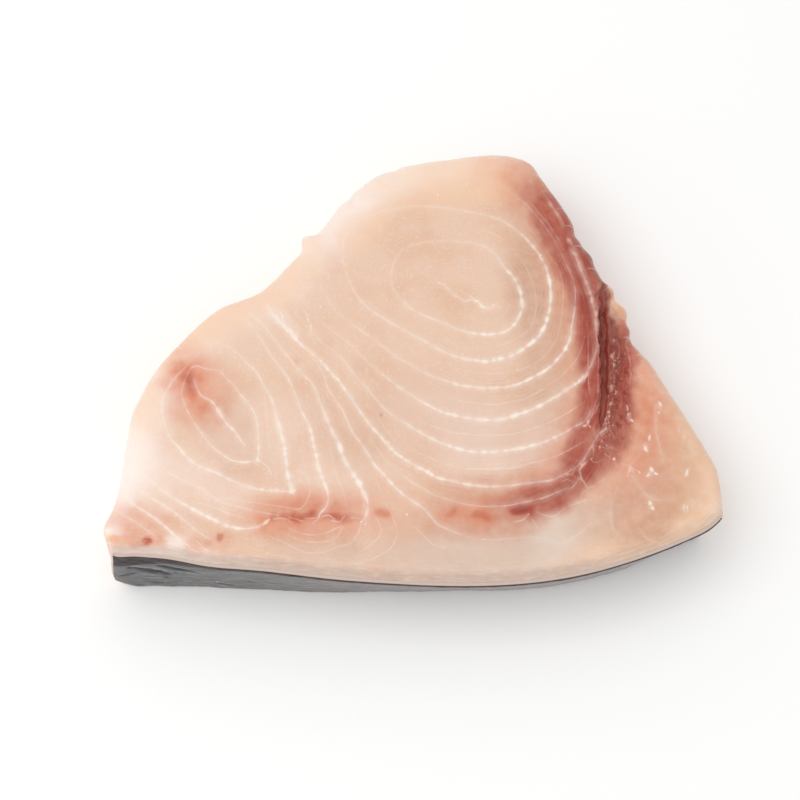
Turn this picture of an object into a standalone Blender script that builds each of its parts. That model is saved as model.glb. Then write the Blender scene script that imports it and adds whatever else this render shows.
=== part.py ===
"""Swordfish steak: one cross-cut slab of a swordfish, lying on its lower cut face.

Frame, in metres: +Z up through the slab, the cut faces level, the skin along the front at -Y.
The origin is under the middle of the slab, on the surface that it lies on.

The slab is lofted up the wall and over the cut face from one outline, drawn clockwise as seen from
above: up the left flank, over the crown, down the side of dark muscle, round the belly flap and back
along the skin. The skin is a strip of its own round the front wall, as deep as the slab.
"""
import math

import bmesh
import bpy
import numpy as np
from mathutils import Vector
from mathutils.geometry import interpolate_bezier

MM = 0.001

# Driving dimensions
THICKNESS = 25 * MM  # the usual one-inch cut
SKIN_THICKNESS = 1.2 * MM
SKIN_GAP = 0.3 * MM  # clearance between the two solids
FOOT_ROUND = 1.2 * MM  # rounding of the lower edge
BARREL = 0.9 * MM  # how far the soft wall bulges at half height

# The outline of the slab, in mm from its middle, clockwise from above the skin's left end
LEFT_FLANK = [(-83, -54.5), (-83.5, -46.5), (-81.7, -34), (-80, -19), (-75.6, -5.2),
              (-67.4, 6.8), (-56.4, 17.9), (-44.3, 23.5)]
CROWN = [(-34, 34.7), (-28.2, 41.8), (-19.6, 54.1), (-8, 62.8), (10, 66.7), (25.6, 68), (34.2, 65.4)]
DARK_SIDE = [(37.6, 60.4), (45.6, 47.3), (48.4, 39.7), (50.8, 35), (55.6, 24.5)]
BELLY_FLAP = [(60.6, 15.7), (62.3, 8.5), (67.5, 1.7), (72.5, -7.2), (79.5, -20.5), (84.2, -32),
              (85, -42.5)]
SKIN_LINE = [(84.5, -46.3), (78, -51.3), (56, -60), (36.5, -64.5), (13.5, -66), (-17.5, -64.5),
             (-42, -61.7), (-56, -60.5), (-67, -58.4), (-76, -57.6), (-82.4, -57.3)]
OUTLINE = LEFT_FLANK + CROWN + DARK_SIDE + BELLY_FLAP + SKIN_LINE

# Small tabs (outwards) and nicks (inwards) of the edge: place, height and half width, in mm
EDGE_MARKS = [
    ((-84, -49.3), 2.1, 4.2),  # soft bulge over the skin's left end
    ((-79, -14), 0.5, 4.0),
    ((-30.5, 39), 2.8, 2.2),  # torn tab where the two lobes meet
    ((-20, 53.5), -0.6, 2.0),
    ((-6, 63.5), -0.6, 2.0),
    ((47.5, 42), -0.6, 2.0),
    ((51, 34.5), 0.7, 2.5),
    ((56, 23.5), 1.4, 2.2),  # shoulder of the flap's torn end
    ((59.3, 17.8), 2.2, 2.2),
    ((61.5, 13), 0.9, 2.4),
]

# How the wall stands at places round the outline, in mm: the place, the radius of the upper rim, and
# how far the foot of the wall stands out from the rim
WALL_STATIONS = [
    ((-83, -53), 2.0, 0.2),
    ((-81.7, -34), 3.5, -0.5),
    ((-62, 13), 4.5, -1.0),
    ((-34, 34.7), 4.0, -1.0),
    ((-14, 59), 5.5, -1.0),
    ((25.6, 68), 4.5, -1.0),
    ((38, 60), 4.5, 0.0),
    ((50, 36), 5.0, 0.5),
    ((60.6, 15.7), 3.0, -0.5),
    ((79, -20), 3.5, -1.5),
    ((85, -42), 2.0, -3.5),
    ((80, -50), 0.8, -8.0),
    ((75, -53), 0.8, -9.0),
    ((69, -56), 0.8, -6.0),
    ((62, -58), 0.8, -5.1),
    ((52, -61), 0.8, -5.4),
    ((36.5, -64.5), 0.8, -5.6),
    ((13.5, -66), 0.8, -6.3),
    ((-10, -65), 0.8, -5.0),
    ((-31, -63), 0.8, -2.8),
    ((-45, -61.5), 0.8, -2.0),
    ((-58, -60.2), 0.8, -1.5),
    ((-69, -58.1), 0.8, 0.5),
    ((-82.4, -57.3), 0.8, 1.4),
]

CENTRE = Vector((4, -12))  # the middle of the lofted cut face, in mm

# Mesh steps of the loft
SAMPLES_ROUND = 200
WALL_STEPS = 3
RIM_STEPS = 3
FACE_STEPS = 13

# The open seam between the main muscle and the belly flap, from the back edge to where it runs out, in
# mm: places on the cut face, the seam's depth below the face, and its half width
CLEFT = [
    ((55.4, 28.0), 4.0, 1.2),
    ((54.4, 22.0), 9.0, 1.6),
    ((54.1, 15.0), 11.0, 1.7),
    ((53.9, 4.0), 10.5, 1.7),
    ((53.4, -8.0), 8.0, 1.5),
    ((52.6, -17.0), 4.5, 1.1),
    ((51.9, -23.0), 1.2, 0.5),
]


def remove_old_objects():
    for old in list(bpy.data.objects):
        bpy.data.objects.remove(old, do_unlink=True)


def smooth_loop(points, steps=8):
    """A closed smooth curve through the points, as an array of plan points."""
    knots = [Vector(p) for p in points]
    count = len(knots)
    curve = []
    for i, knot in enumerate(knots):
        before, after, beyond = knots[i - 1], knots[(i + 1) % count], knots[(i + 2) % count]
        reach = (after - knot).length / 3
        leave = knot + (after - before).normalized() * reach
        arrive = after - (beyond - knot).normalized() * reach
        curve += interpolate_bezier(knot, leave, arrive, after, steps + 1)[:-1]
    return np.array(curve)


def evenly(loop, count):
    """The closed loop again, with count points equally far apart."""
    closed = np.vstack([loop, loop[:1]])
    run = np.concatenate([[0], np.cumsum(np.linalg.norm(np.diff(closed, axis=0), axis=1))])
    stops = np.arange(count) * run[-1] / count
    return np.column_stack([np.interp(stops, run, closed[:, axis]) for axis in (0, 1)]), run[-1]


def inward(loop, blur_mm, pitch):
    """Vectors that point into the loop, blurred along it so that deep offsets don't cross at corners."""
    along = np.roll(loop, -1, axis=0) - np.roll(loop, 1, axis=0)
    along /= np.linalg.norm(along, axis=1)[:, None]
    normals = np.column_stack([along[:, 1], -along[:, 0]])
    reach = int(3 * blur_mm / pitch)
    weights = np.exp(-0.5 * (np.arange(-reach, reach + 1) * pitch / blur_mm) ** 2)
    weights /= weights.sum()
    return sum(w * np.roll(normals, k - reach, axis=0) for k, w in enumerate(weights))


def mitred(loop):
    """Vectors that move every side of the loop inwards by one, corners and all."""
    ahead = np.roll(loop, -1, axis=0) - loop
    ahead /= np.linalg.norm(ahead, axis=1)[:, None]
    after = np.column_stack([ahead[:, 1], -ahead[:, 0]])
    before = np.roll(after, 1, axis=0)
    return (before + after) / (1 + (before * after).sum(axis=1))[:, None]


def nearest(loop, place):
    return int(np.argmin(np.linalg.norm(loop - np.array(place), axis=1)))


def round_the_outline(loop, column):
    """One column of WALL_STATIONS, read at every point of the loop."""
    count = len(loop)
    stations = sorted((nearest(loop, station[0]), station[column]) for station in WALL_STATIONS)
    at, values = zip(*stations)
    return np.interp(np.arange(count), at, values, period=count)


def edge_marks(loop, pitch):
    """Height of the tabs and nicks at every point of the loop, outwards."""
    count = len(loop)
    height = np.zeros(count)
    for place, size, half_width in EDGE_MARKS:
        steps = (np.arange(count) - nearest(loop, place) + count // 2) % count - count // 2
        height += size * np.exp(-(steps * pitch / half_width) ** 2)
    return height


def ramp(value, low, high):
    share = np.clip((value - low) / (high - low), 0, 1)
    return share * share * (3 - 2 * share)


def face_height(x, y):
    """Height of the upper cut face, in mm: two low muscle domes, and the flap that sags past the seam."""
    height = THICKNESS / MM - 0.6
    height = height + 0.9 * np.exp(-((x - 15) / 38) ** 2 - ((y - 10) / 36) ** 2)
    height = height + 0.6 * np.exp(-((x + 52) / 24) ** 2 - ((y + 25) / 22) ** 2)
    past_the_seam = ramp(x, 53.5, 58)
    height = height - 2.6 * past_the_seam * ramp(y, -34, -6)
    height = height - 3.0 * past_the_seam * ramp(y, 4, 16)
    return height


class Section:
    """The outline with what every wall and rim point is worked out from, all in mm."""

    def __init__(self):
        loop, length = evenly(smooth_loop(OUTLINE), SAMPLES_ROUND)
        self.pitch = length / SAMPLES_ROUND
        self.loop = loop
        self.inward_rim = inward(loop, 4.5, self.pitch)
        self.inward_foot = inward(loop, 8.0, self.pitch)
        self.rim = round_the_outline(loop, 1)
        self.foot = round_the_outline(loop, 2)
        self.marks = edge_marks(loop, self.pitch)
        self.skin_from = nearest(loop, SKIN_LINE[0])
        self.skin_to = nearest(loop, SKIN_LINE[-1])
        index = np.arange(SAMPLES_ROUND)
        self.under_skin = ((index >= self.skin_from) & (index <= self.skin_to)).astype(float)
        shoulder = self.loop + self.inward_rim * self.rim[:, None]
        self.shoulder_height = face_height(shoulder[:, 0], shoulder[:, 1])

    def wall(self, share, recess=0.0):
        """The wall's points at a share of its height, from the foot (0) to where the rim starts (1)."""
        lean = self.foot * (1 - share) + BARREL / MM * math.sin(math.pi * share) * (1 - self.under_skin)
        plan = self.loop - self.inward_foot * lean[:, None]
        plan = plan - inward(plan, 1.5, self.pitch) * (self.marks * share * share)[:, None]
        plan = plan + mitred(plan) * np.reshape(recess, (-1, 1))
        low = FOOT_ROUND / MM
        height = low + (self.shoulder_height - self.rim - low) * share
        return np.column_stack([plan, height])


def shift_down(section):
    """Vector, in mm, from the outline's own middle to the origin below the slab."""
    foot, top = section.wall(0.0), section.wall(1.0)
    both = np.vstack([foot, top])[:, :2]
    return -(both.min(axis=0) + both.max(axis=0)) / 2


def add_loop(bm, points, shift):
    moved = points + np.array([shift[0], shift[1], 0.0])
    return [bm.verts.new(Vector(p) * MM) for p in moved]


def join_loops(bm, lower, upper):
    count = len(lower)
    for i in range(count):
        j = (i + 1) % count
        bm.faces.new((lower[i], upper[i], upper[j], lower[j]))


def new_object(name, bm, material, collection, parent):
    mesh = bpy.data.meshes.new(name)
    bmesh.ops.recalc_face_normals(bm, faces=bm.faces)
    bm.to_mesh(mesh)
    bm.free()
    mesh.materials.append(material)
    made = bpy.data.objects.new(name, mesh)
    collection.objects.link(made)
    made.parent = parent
    mesh.shade_smooth()
    mesh.set_sharp_from_angle(angle=math.radians(35))
    return made


def make_flesh(section, shift, material, collection, parent):
    """The slab of flesh: foot, wall, rounded rim and cut face as one closed loft."""
    recess = section.under_skin * (SKIN_THICKNESS + SKIN_GAP) / MM
    bm = bmesh.new()
    foot = section.wall(0.0, recess)
    sole = foot.copy()
    sole[:, :2] += section.inward_foot * FOOT_ROUND / MM
    sole[:, 2] = 0.0
    loops = [add_loop(bm, sole, shift)]
    for step in range(WALL_STEPS + 1):
        loops.append(add_loop(bm, section.wall(step / WALL_STEPS, recess), shift))
    shoulder = section.wall(1.0, recess)
    for step in range(1, RIM_STEPS + 1):
        turn = math.radians(90 * step / RIM_STEPS)
        arc = shoulder.copy()
        arc[:, :2] += section.inward_rim * (section.rim * (1 - math.cos(turn)))[:, None]
        arc[:, 2] += section.rim * math.sin(turn)
        loops.append(add_loop(bm, arc, shift))
    for step in range(1, FACE_STEPS):
        share = 1 - (step / FACE_STEPS) ** 1.35
        ring = arc.copy()
        ring[:, :2] = np.array(CENTRE) + (arc[:, :2] - np.array(CENTRE)) * share
        settled = ramp(step, 0, 3)
        ring[:, 2] = arc[:, 2] * (1 - settled) + face_height(ring[:, 0], ring[:, 1]) * settled
        loops.append(add_loop(bm, ring, shift))
    for lower, upper in zip(loops, loops[1:]):
        join_loops(bm, lower, upper)
    bm.faces.new(loops[0])
    middle = np.array([[CENTRE.x, CENTRE.y, face_height(CENTRE.x, CENTRE.y)]])
    top = add_loop(bm, middle, shift)[0]
    last = loops[-1]
    for i in range(SAMPLES_ROUND):
        bm.faces.new((last[i], top, last[(i + 1) % SAMPLES_ROUND]))
    return new_object("flesh", bm, material, collection, parent)


def cut_cleft(flesh, shift, cutters):
    """Cuts the open seam: a groove with a steep inner wall and a sloping outer one."""
    bm = bmesh.new()
    sections = []
    for (x, y), depth, half in CLEFT:
        floor, over = THICKNESS / MM - depth, THICKNESS / MM + 6
        corners = [(-half, over), (half + 1.2, over), (half * 0.5, floor), (-half * 0.8, floor)]
        sections.append([bm.verts.new(Vector((x + shift[0] + dx, y + shift[1], z)) * MM) for dx, z in corners])
    for near, far in zip(sections, sections[1:]):
        join_loops(bm, near, far)
    bm.faces.new(sections[0])
    bm.faces.new(sections[-1])
    bmesh.ops.recalc_face_normals(bm, faces=bm.faces)
    mesh = bpy.data.meshes.new("cleft_cutter")
    bm.to_mesh(mesh)
    bm.free()
    cutter = bpy.data.objects.new("cleft_cutter", mesh)
    cutters.objects.link(cutter)
    cutter.hide_render = True
    cutter.display_type = "WIRE"
    cut = flesh.modifiers.new("cleft", "BOOLEAN")
    cut.operation = "DIFFERENCE"
    cut.object = cutter


def make_skin(section, shift, material, collection, parent):
    """The skin: an open strip round the front wall, thickened inwards."""
    rows = []
    bm = bmesh.new()
    columns = slice(section.skin_from, section.skin_to + 1)
    foot = section.wall(0.0)
    foot[:, 2] = 0.0
    top = section.wall(1.0)
    top[:, 2] += section.rim
    walls = [foot] + [section.wall(step / WALL_STEPS) for step in range(WALL_STEPS + 1)] + [top]
    for wall in walls:
        rows.append(add_loop(bm, wall[columns], shift))
    for lower, upper in zip(rows, rows[1:]):
        for i in range(len(lower) - 1):
            bm.faces.new((lower[i], upper[i], upper[i + 1], lower[i + 1]))
    skin = new_object("skin", bm, material, collection, parent)
    shell = skin.modifiers.new("thickness", "SOLIDIFY")
    shell.thickness = SKIN_THICKNESS
    shell.offset = -1
    return skin


def make_material(name, colour, roughness):
    material = bpy.data.materials.new(name)
    material.use_nodes = True
    shader = material.node_tree.nodes["Principled BSDF"]
    shader.inputs["Base Color"].default_value = (*colour, 1)
    shader.inputs["Roughness"].default_value = roughness
    shader.inputs["Metallic"].default_value = 0.0
    material.diffuse_color = (*colour, 1)
    return material


def main():
    remove_old_objects()
    steak = bpy.data.collections.new("swordfish_steak")
    cutters = bpy.data.collections.new("cutters")
    for collection in (steak, cutters):
        bpy.context.scene.collection.children.link(collection)
    root = bpy.data.objects.new("steak_origin", None)
    steak.objects.link(root)

    section = Section()
    shift = shift_down(section)
    flesh_material = make_material("raw_flesh", (0.80, 0.56, 0.43), 0.4)
    skin_material = make_material("grey_skin", (0.10, 0.10, 0.11), 0.35)
    flesh = make_flesh(section, shift, flesh_material, steak, root)
    cut_cleft(flesh, shift, cutters)
    make_skin(section, shift, skin_material, steak, root)


main()
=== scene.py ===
# A raw swordfish steak lying on its lower cut face: +Z up through it, the skin along the front.
# Lengths in the dictionaries are millimetres. Places on the cut face are read from above the steak, from
# the point in the middle of the picture: x to the right, y away from the skin.
import math

import bpy
import numpy as np
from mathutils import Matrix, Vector, kdtree
from mathutils.geometry import delaunay_2d_cdt, interpolate_bezier


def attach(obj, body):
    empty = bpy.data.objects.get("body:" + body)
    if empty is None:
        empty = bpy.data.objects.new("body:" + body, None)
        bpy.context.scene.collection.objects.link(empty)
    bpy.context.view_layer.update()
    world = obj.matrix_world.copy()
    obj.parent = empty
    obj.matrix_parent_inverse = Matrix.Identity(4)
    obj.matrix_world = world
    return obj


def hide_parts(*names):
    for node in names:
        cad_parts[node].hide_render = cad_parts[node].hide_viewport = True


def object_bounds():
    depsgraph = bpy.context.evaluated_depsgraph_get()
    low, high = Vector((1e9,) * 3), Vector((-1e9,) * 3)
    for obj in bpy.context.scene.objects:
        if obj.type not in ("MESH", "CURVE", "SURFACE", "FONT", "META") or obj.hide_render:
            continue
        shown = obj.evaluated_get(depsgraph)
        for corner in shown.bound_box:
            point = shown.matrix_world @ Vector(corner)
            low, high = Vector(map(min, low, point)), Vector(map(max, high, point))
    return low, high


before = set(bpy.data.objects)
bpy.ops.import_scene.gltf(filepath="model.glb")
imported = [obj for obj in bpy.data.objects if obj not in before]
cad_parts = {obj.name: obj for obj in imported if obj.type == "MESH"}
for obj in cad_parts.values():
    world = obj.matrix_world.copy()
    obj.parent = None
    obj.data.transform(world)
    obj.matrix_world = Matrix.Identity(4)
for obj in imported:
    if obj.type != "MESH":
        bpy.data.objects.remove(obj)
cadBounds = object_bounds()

mm = 0.001

# The slab's own section, the same landmarks as the solid's, counted from the middle of its outline
slab = {
    "thickness": 25.0,
    "faceLow": 0.6,  # how far under the thickness the cut face lies, apart from its domes
    "domes": [((15, 10), (38, 36), 0.9), ((-52, -25), (24, 22), 0.6)],  # middle, reach each way, rise
    "pastSeam": (53.5, 58),  # the belly flap begins between these
    "sags": [(2.6, -34, -6), (3.0, 4, 16)],  # how much lower the flap lies, from the first y to the second
    "skinThickness": 1.2,
    "footRound": 1.2,
    "barrel": 0.9,  # how far the bare wall bulges, in full from so far past the skin
    "barrelFrom": 6.0,
    "skinStep": 0.9,  # how soon past the skin the wall is back at the outline
    "evened": (4.5, 8.0, 1.5),  # stretch over which the way inwards is evened: rim, foot, marks of the edge
    "viewMiddle": (-4.0, -11.5),  # from the outline's middle to the point in the middle of the picture
    "outline": [
        (-83, -54.5), (-83.5, -46.5), (-81.7, -34), (-80, -19), (-75.6, -5.2), (-67.4, 6.8),
        (-56.4, 17.9), (-44.3, 23.5), (-34, 34.7), (-28.2, 41.8), (-19.6, 54.1), (-8, 62.8),
        (10, 66.7), (25.6, 68), (34.2, 65.4), (37.6, 60.4), (45.6, 47.3), (48.4, 39.7), (50.8, 35),
        (55.6, 24.5), (60.6, 15.7), (62.3, 8.5), (67.5, 1.7), (72.5, -7.2), (79.5, -20.5),
        (84.2, -32), (85, -42.5), (84.5, -46.3), (78, -51.3), (56, -60), (36.5, -64.5), (13.5, -66),
        (-17.5, -64.5), (-42, -61.7), (-56, -60.5), (-67, -58.4), (-76, -57.6), (-82.4, -57.3)],
    "skinEnds": ((84.5, -46.3), (-82.4, -57.3)),
    # tabs and nicks of the edge: place, height outwards, half width
    "edgeMarks": [
        ((-84, -49.3), 2.1, 4.2), ((-79, -14), 0.5, 4.0), ((-30.5, 39), 2.8, 2.2),
        ((-20, 53.5), -0.6, 2.0), ((-6, 63.5), -0.6, 2.0), ((47.5, 42), -0.6, 2.0),
        ((51, 34.5), 0.7, 2.5), ((56, 23.5), 1.4, 2.2), ((59.3, 17.8), 2.2, 2.2), ((61.5, 13), 0.9, 2.4)],
    # place, radius of the upper rim, how far the foot of the wall stands out, how pale the edge is painted, a
    # painted light shining through the thin rim
    "wallStations": [
        ((-83, -53), 2.0, 0.2, 0.3), ((-81.7, -34), 3.5, -0.5, 0.75), ((-62, 13), 4.5, -1.0, 0.35),
        ((-34, 34.7), 4.0, -1.0, 0.5), ((-14, 59), 5.5, -1.0, 0.7), ((25.6, 68), 4.5, -1.0, 0.35),
        ((38, 60), 4.5, 0.0, 0.0), ((50, 36), 5.0, 0.5, 0.0), ((60.6, 15.7), 3.0, -0.5, 0.1),
        ((79, -20), 3.5, -1.5, 0.25), ((85, -42), 2.0, -3.5, 0.35), ((80, -50), 0.8, -8.0, 0.0),
        ((75, -53), 0.8, -9.0, 0.0), ((69, -56), 0.8, -6.0, 0.0), ((62, -58), 0.8, -5.1, 0.0),
        ((52, -61), 0.8, -5.4, 0.0), ((36.5, -64.5), 0.8, -5.6, 0.0), ((13.5, -66), 0.8, -6.3, 0.0),
        ((-10, -65), 0.8, -5.0, 0.0), ((-31, -63), 0.8, -2.8, 0.0), ((-45, -61.5), 0.8, -2.0, 0.0),
        ((-58, -60.2), 0.8, -1.5, 0.0), ((-69, -58.1), 0.8, 0.5, 0.0), ((-82.4, -57.3), 0.8, 1.4, 0.0)],
    # how far the corner at the skin's left end stands back, at each height, and where that fades in x and y
    "wornCorner": [(0, 5.6), (0.5, 3.9), (1.5, 1.8), (3, 0.2), (4.9, -0.9), (7, -1.2), (14, -0.7), (22, 0)],
    "wornWithin": ((-82, -64), (-54, -44)),
    # the open seam: place, depth below the face, half width
    "cleft": [
        (55.4, 28.0, 4.0, 1.2), (54.4, 22.0, 9.0, 1.6), (54.1, 15.0, 11.0, 1.7), (53.9, 4.0, 10.5, 1.7),
        (53.4, -8.0, 8.0, 1.5), (52.6, -17.0, 4.5, 1.1), (51.9, -23.0, 1.2, 0.5)],
}


def linearColour(hexCode):
    values = [int(hexCode[i:i + 2], 16) / 255 for i in (1, 3, 5)]
    linear = [v / 12.92 if v <= 0.04045 else ((v + 0.055) / 1.055) ** 2.4 for v in values]
    return (*linear, 1.0)


def addNode(tree, kind, settings=None, links=None):
    node = tree.nodes.new("ShaderNode" + kind)
    for name, value in (settings or {}).items():
        if isinstance(name, int) or name in node.inputs:
            node.inputs[name].default_value = value
        else:
            setattr(node, name, value)
    for name, source in (links or {}).items():
        tree.links.new(source, node.inputs[name])
    return node


def startMaterial(name):
    material = bpy.data.materials.new(name)
    material.use_nodes = True
    return material, material.node_tree, material.node_tree.nodes["Principled BSDF"]


def finishMaterial(tree, shader, look, value, tone):
    # the look's paints one over the other, its roughness, its even settings and its fine relief
    for name, colour, *_ in look["paints"]:
        tone = addNode(tree, "Mix", {"data_type": "RGBA", 7: linearColour(colour)},
                       {0: value[name], 6: tone}).outputs[2]
    tree.links.new(tone, shader.inputs["Base Color"])
    tree.links.new(value["rough"], shader.inputs["Roughness"])
    for name, setting in look["shader"].items():
        shader.inputs[name].default_value = setting
    below = {}
    for name, strength, depth in look["bumps"]:
        settings = {"Strength": strength, "Distance": depth * mm}
        below = {"Normal": addNode(tree, "Bump", settings, {"Height": value[name]} | below).outputs[0]}
    tree.links.new(below["Normal"], shader.inputs["Normal"])


def perMetre(size):
    return 1 / (size * mm)  # the scale of a pattern whose grain is size millimetres


def ramp(value, low, high):
    share = np.clip((value - low) / (high - low), 0, 1)
    return share * share * (3 - 2 * share)


def between(value, low, full, still, high):
    return ramp(value, low, full) * (1 - ramp(value, still, high))


def softNoise(x, y, grain, seed):
    # values from -1 to 1 that change over about a grain, in millimetres
    table = np.random.default_rng(seed).uniform(-1, 1, (256, 256))
    u, v = x / grain, y / grain
    i, j = np.floor(u).astype(int), np.floor(v).astype(int)
    a, b = ramp(u - i, 0, 1), ramp(v - j, 0, 1)
    near = table[i % 256, j % 256] * (1 - a) + table[(i + 1) % 256, j % 256] * a
    far = table[i % 256, (j + 1) % 256] * (1 - a) + table[(i + 1) % 256, (j + 1) % 256] * a
    return near * (1 - b) + far * b


def uneven(x, y, look, seed):
    size, grain = look
    return size * softNoise(x, y, grain, seed)


def smoothLine(points, closed=False, steps=8):
    knots = [Vector(p[:2]) for p in points]
    count = len(knots)
    curve = []
    for i in range(count if closed else count - 1):
        knot, after = knots[i], knots[(i + 1) % count]
        before = knots[i - 1] if closed or i else knot
        beyond = knots[(i + 2) % count] if closed or i + 2 < count else after
        reach = (after - knot).length / 3
        leave = knot + (after - before).normalized() * reach
        arrive = after - (beyond - knot).normalized() * reach
        curve += interpolate_bezier(knot, leave, arrive, after, steps + 1)[:-1]
    curve.append(knots[0] if closed else knots[-1])
    return np.array(curve)


def evenly(curve, count, closed=False):
    run = np.concatenate([[0], np.cumsum(np.linalg.norm(np.diff(curve, axis=0), axis=1))])
    stops = np.linspace(0, run[-1], count, endpoint=not closed)
    return np.column_stack([np.interp(stops, run, curve[:, axis]) for axis in (0, 1)]), run[-1]


def inward(loop, blur, pitch):
    along = np.roll(loop, -1, axis=0) - np.roll(loop, 1, axis=0)
    along /= np.linalg.norm(along, axis=1)[:, None]
    normals = np.column_stack([along[:, 1], -along[:, 0]])
    reach = int(3 * blur / pitch)
    weights = np.exp(-0.5 * (np.arange(-reach, reach + 1) * pitch / blur) ** 2)
    weights /= weights.sum()
    return sum(w * np.roll(normals, k - reach, axis=0) for k, w in enumerate(weights))


def mitred(loop):
    # vectors that move every side of the loop inwards by one, corners and all
    ahead = np.roll(loop, -1, axis=0) - loop
    ahead /= np.linalg.norm(ahead, axis=1)[:, None]
    after = np.column_stack([ahead[:, 1], -ahead[:, 0]])
    before = np.roll(after, 1, axis=0)
    return (before + after) / (1 + (before * after).sum(axis=1))[:, None]


def nearest(loop, place):
    return int(np.argmin(np.linalg.norm(loop - np.array(place), axis=1)))


def treeOf(points):
    tree = kdtree.KDTree(len(points))
    for i, p in enumerate(points):
        tree.insert((p[0], p[1], 0), i)
    tree.balance()
    return tree


def nearestIn(tree, points):
    # how far each point is from the nearest one of the tree, and that one's number
    found = [tree.find((p[0], p[1], 0)) for p in points]
    return np.array([f[2] for f in found]), np.array([f[1] for f in found])


def toStretch(points, a, b):
    # how far along a stretch of a path each point's nearest place is, from 0 to 1, and the way off it
    along = b[:2] - a[:2]
    share = np.clip((points - a[:2]) @ along / max(along @ along, 1e-9), 0, 1)
    return share, points - a[:2] - share[:, None] * along


def faceHeight(x, y):
    height = slab["thickness"] - slab["faceLow"]
    for (middleX, middleY), (reachX, reachY), rise in slab["domes"]:
        height = height + rise * np.exp(-((x - middleX) / reachX) ** 2 - ((y - middleY) / reachY) ** 2)
    for drop, low, high in slab["sags"]:
        height = height - drop * ramp(x, *slab["pastSeam"]) * ramp(y, low, high)
    return height


# The camera stands where the picture was taken from: 68 degrees up, over the skin side
picture = {"lens": 100.0, "sensor": 36.0, "elevation": 68.0, "distance": 622.2, "height": 25.0,
           "clip": (0.05, 20)}
cameraBack = picture["distance"] * math.cos(math.radians(picture["elevation"]))
cameraUp = picture["distance"] * math.sin(math.radians(picture["elevation"]))


def seenAt(plan, height):
    # where a point lies on the flat face at the picture's height, as the picture shows it
    x, y = plan[:, 0] - slab["viewMiddle"][0], plan[:, 1] - slab["viewMiddle"][1]
    stretch = cameraUp / (cameraUp + picture["height"] - height)
    return np.column_stack([x * stretch, (y + cameraBack) * stretch - cameraBack])


def onSlab(seen):
    # the place on the slab's own face of a point read from the picture
    seen = np.array(seen, float)
    height = np.full(len(seen), picture["height"])
    for _ in range(4):
        shrink = (cameraUp + picture["height"] - height) / cameraUp
        x = seen[:, 0] * shrink + slab["viewMiddle"][0]
        y = (seen[:, 1] + cameraBack) * shrink - cameraBack + slab["viewMiddle"][1]
        height = faceHeight(x, y)
    return np.column_stack([x, y])


# How finely the flesh is drawn
fleshMesh = {
    "samplesRound": 820,
    "wallRows": 9,
    "rimRows": 6,
    "footRows": 3,
    "topSpacing": 0.78,
    "cleftSpacing": 0.34,
    "cleftBox": ((47.5, -30.0), (64.0, 30.0)),
    "cleftRows": (-22.8, 28.2, 0.36),  # points down the seam's sides: from, to, apart
    "cleftSides": (-0.97, -0.8, 0.5),  # and how many half widths from its middle
    "soleSpacing": 1.25,
    "linePitch": 0.5,
    "solePitch": 0.9,
    "wideSheet": 0.45,  # sheets under this width stay off the sole
    "soleLift": (0.05, 6),  # the sole is uneven by this, over this grain, in full so far from its edge
    "soleLiftFrom": (0.5, 4),
    "jitter": 0.1,  # how far the grid is shaken, in spacings
    "fixedApart": 0.14,
    "fixedFromEdge": 0.25,
    "gridFromEdge": 0.45,  # in spacings, as the next
    "gridFromFixed": 0.5,
    "edgeWobble": 0.16,  # the cut wall is uneven by this much, and by these shares of it
    "wobbles": (((0.5, 2.1), 0.9), ((0.6, 6.0), 1.6)),  # share, grain, how much it changes from row to row
    "rimUnderSkin": 0.3,
    "skinOverlap": 0.05,
    "edgeBlend": 2.5,  # how far in from the edge the relief of the face is in full
    "paintedLightReach": 7.0,
    "rimFrom": (-1, 1),  # heights about the rim's lower edge between which the rim begins
    "faceColours": (2, 16),  # heights on the wall between which the face's colours take over from the sole's
}

loop, around = evenly(smoothLine(slab["outline"], closed=True), fleshMesh["samplesRound"], closed=True)
samples, index = len(loop), np.arange(len(loop))
pitch = around / samples
inwardRim, inwardFoot = (inward(loop, blur, pitch) for blur in slab["evened"][:2])
skinFrom, skinTo = (nearest(loop, end) for end in slab["skinEnds"])


def stationColumn(column):
    stations = sorted((nearest(loop, station[0]), station[column]) for station in slab["wallStations"])
    return np.interp(index, *zip(*stations), period=samples)


rim, foot, paintedLightAlongEdge = (stationColumn(column) for column in (1, 2, 3))
pastSkin = np.minimum((index - skinTo) % samples, (skinFrom - index) % samples) * pitch
pastSkin[skinFrom:skinTo + 1] = 0
underSkin = np.clip(1 - pastSkin / slab["skinStep"], 0, 1)
bulging = ramp(pastSkin, 0, slab["barrelFrom"])
marks = np.zeros(samples)
for place, size, halfWidth in slab["edgeMarks"]:
    steps = (index - nearest(loop, place) + samples // 2) % samples - samples // 2
    marks += size * np.exp(-(steps * pitch / halfWidth) ** 2)
shoulder = loop + inwardRim * rim[:, None]
shoulderHeight = faceHeight(*shoulder.T)


def wall(share, recess=0.0):
    lean = foot * (1 - share) + slab["barrel"] * math.sin(math.pi * share) * bulging
    plan = loop - inwardFoot * lean[:, None]
    plan = plan - inward(plan, slab["evened"][2], pitch) * (marks * share * share)[:, None]
    plan = plan + mitred(plan) * np.reshape(recess, (-1, 1))
    height = slab["footRound"] + (shoulderHeight - rim - slab["footRound"]) * share
    return np.column_stack([plan, height])


def worn(points):
    # the lower corner at the skin's left end is worn round
    x, y, z = points.T
    back = np.interp(z, *zip(*slab["wornCorner"]))
    near = (1 - ramp(x, *slab["wornWithin"][0])) * (1 - ramp(y, *slab["wornWithin"][1]))
    return np.column_stack([x + back * near, y, z])


both = np.vstack([wall(0.0), wall(1.0)])[:, :2]
shift = -(both.min(axis=0) + both.max(axis=0)) / 2


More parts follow.
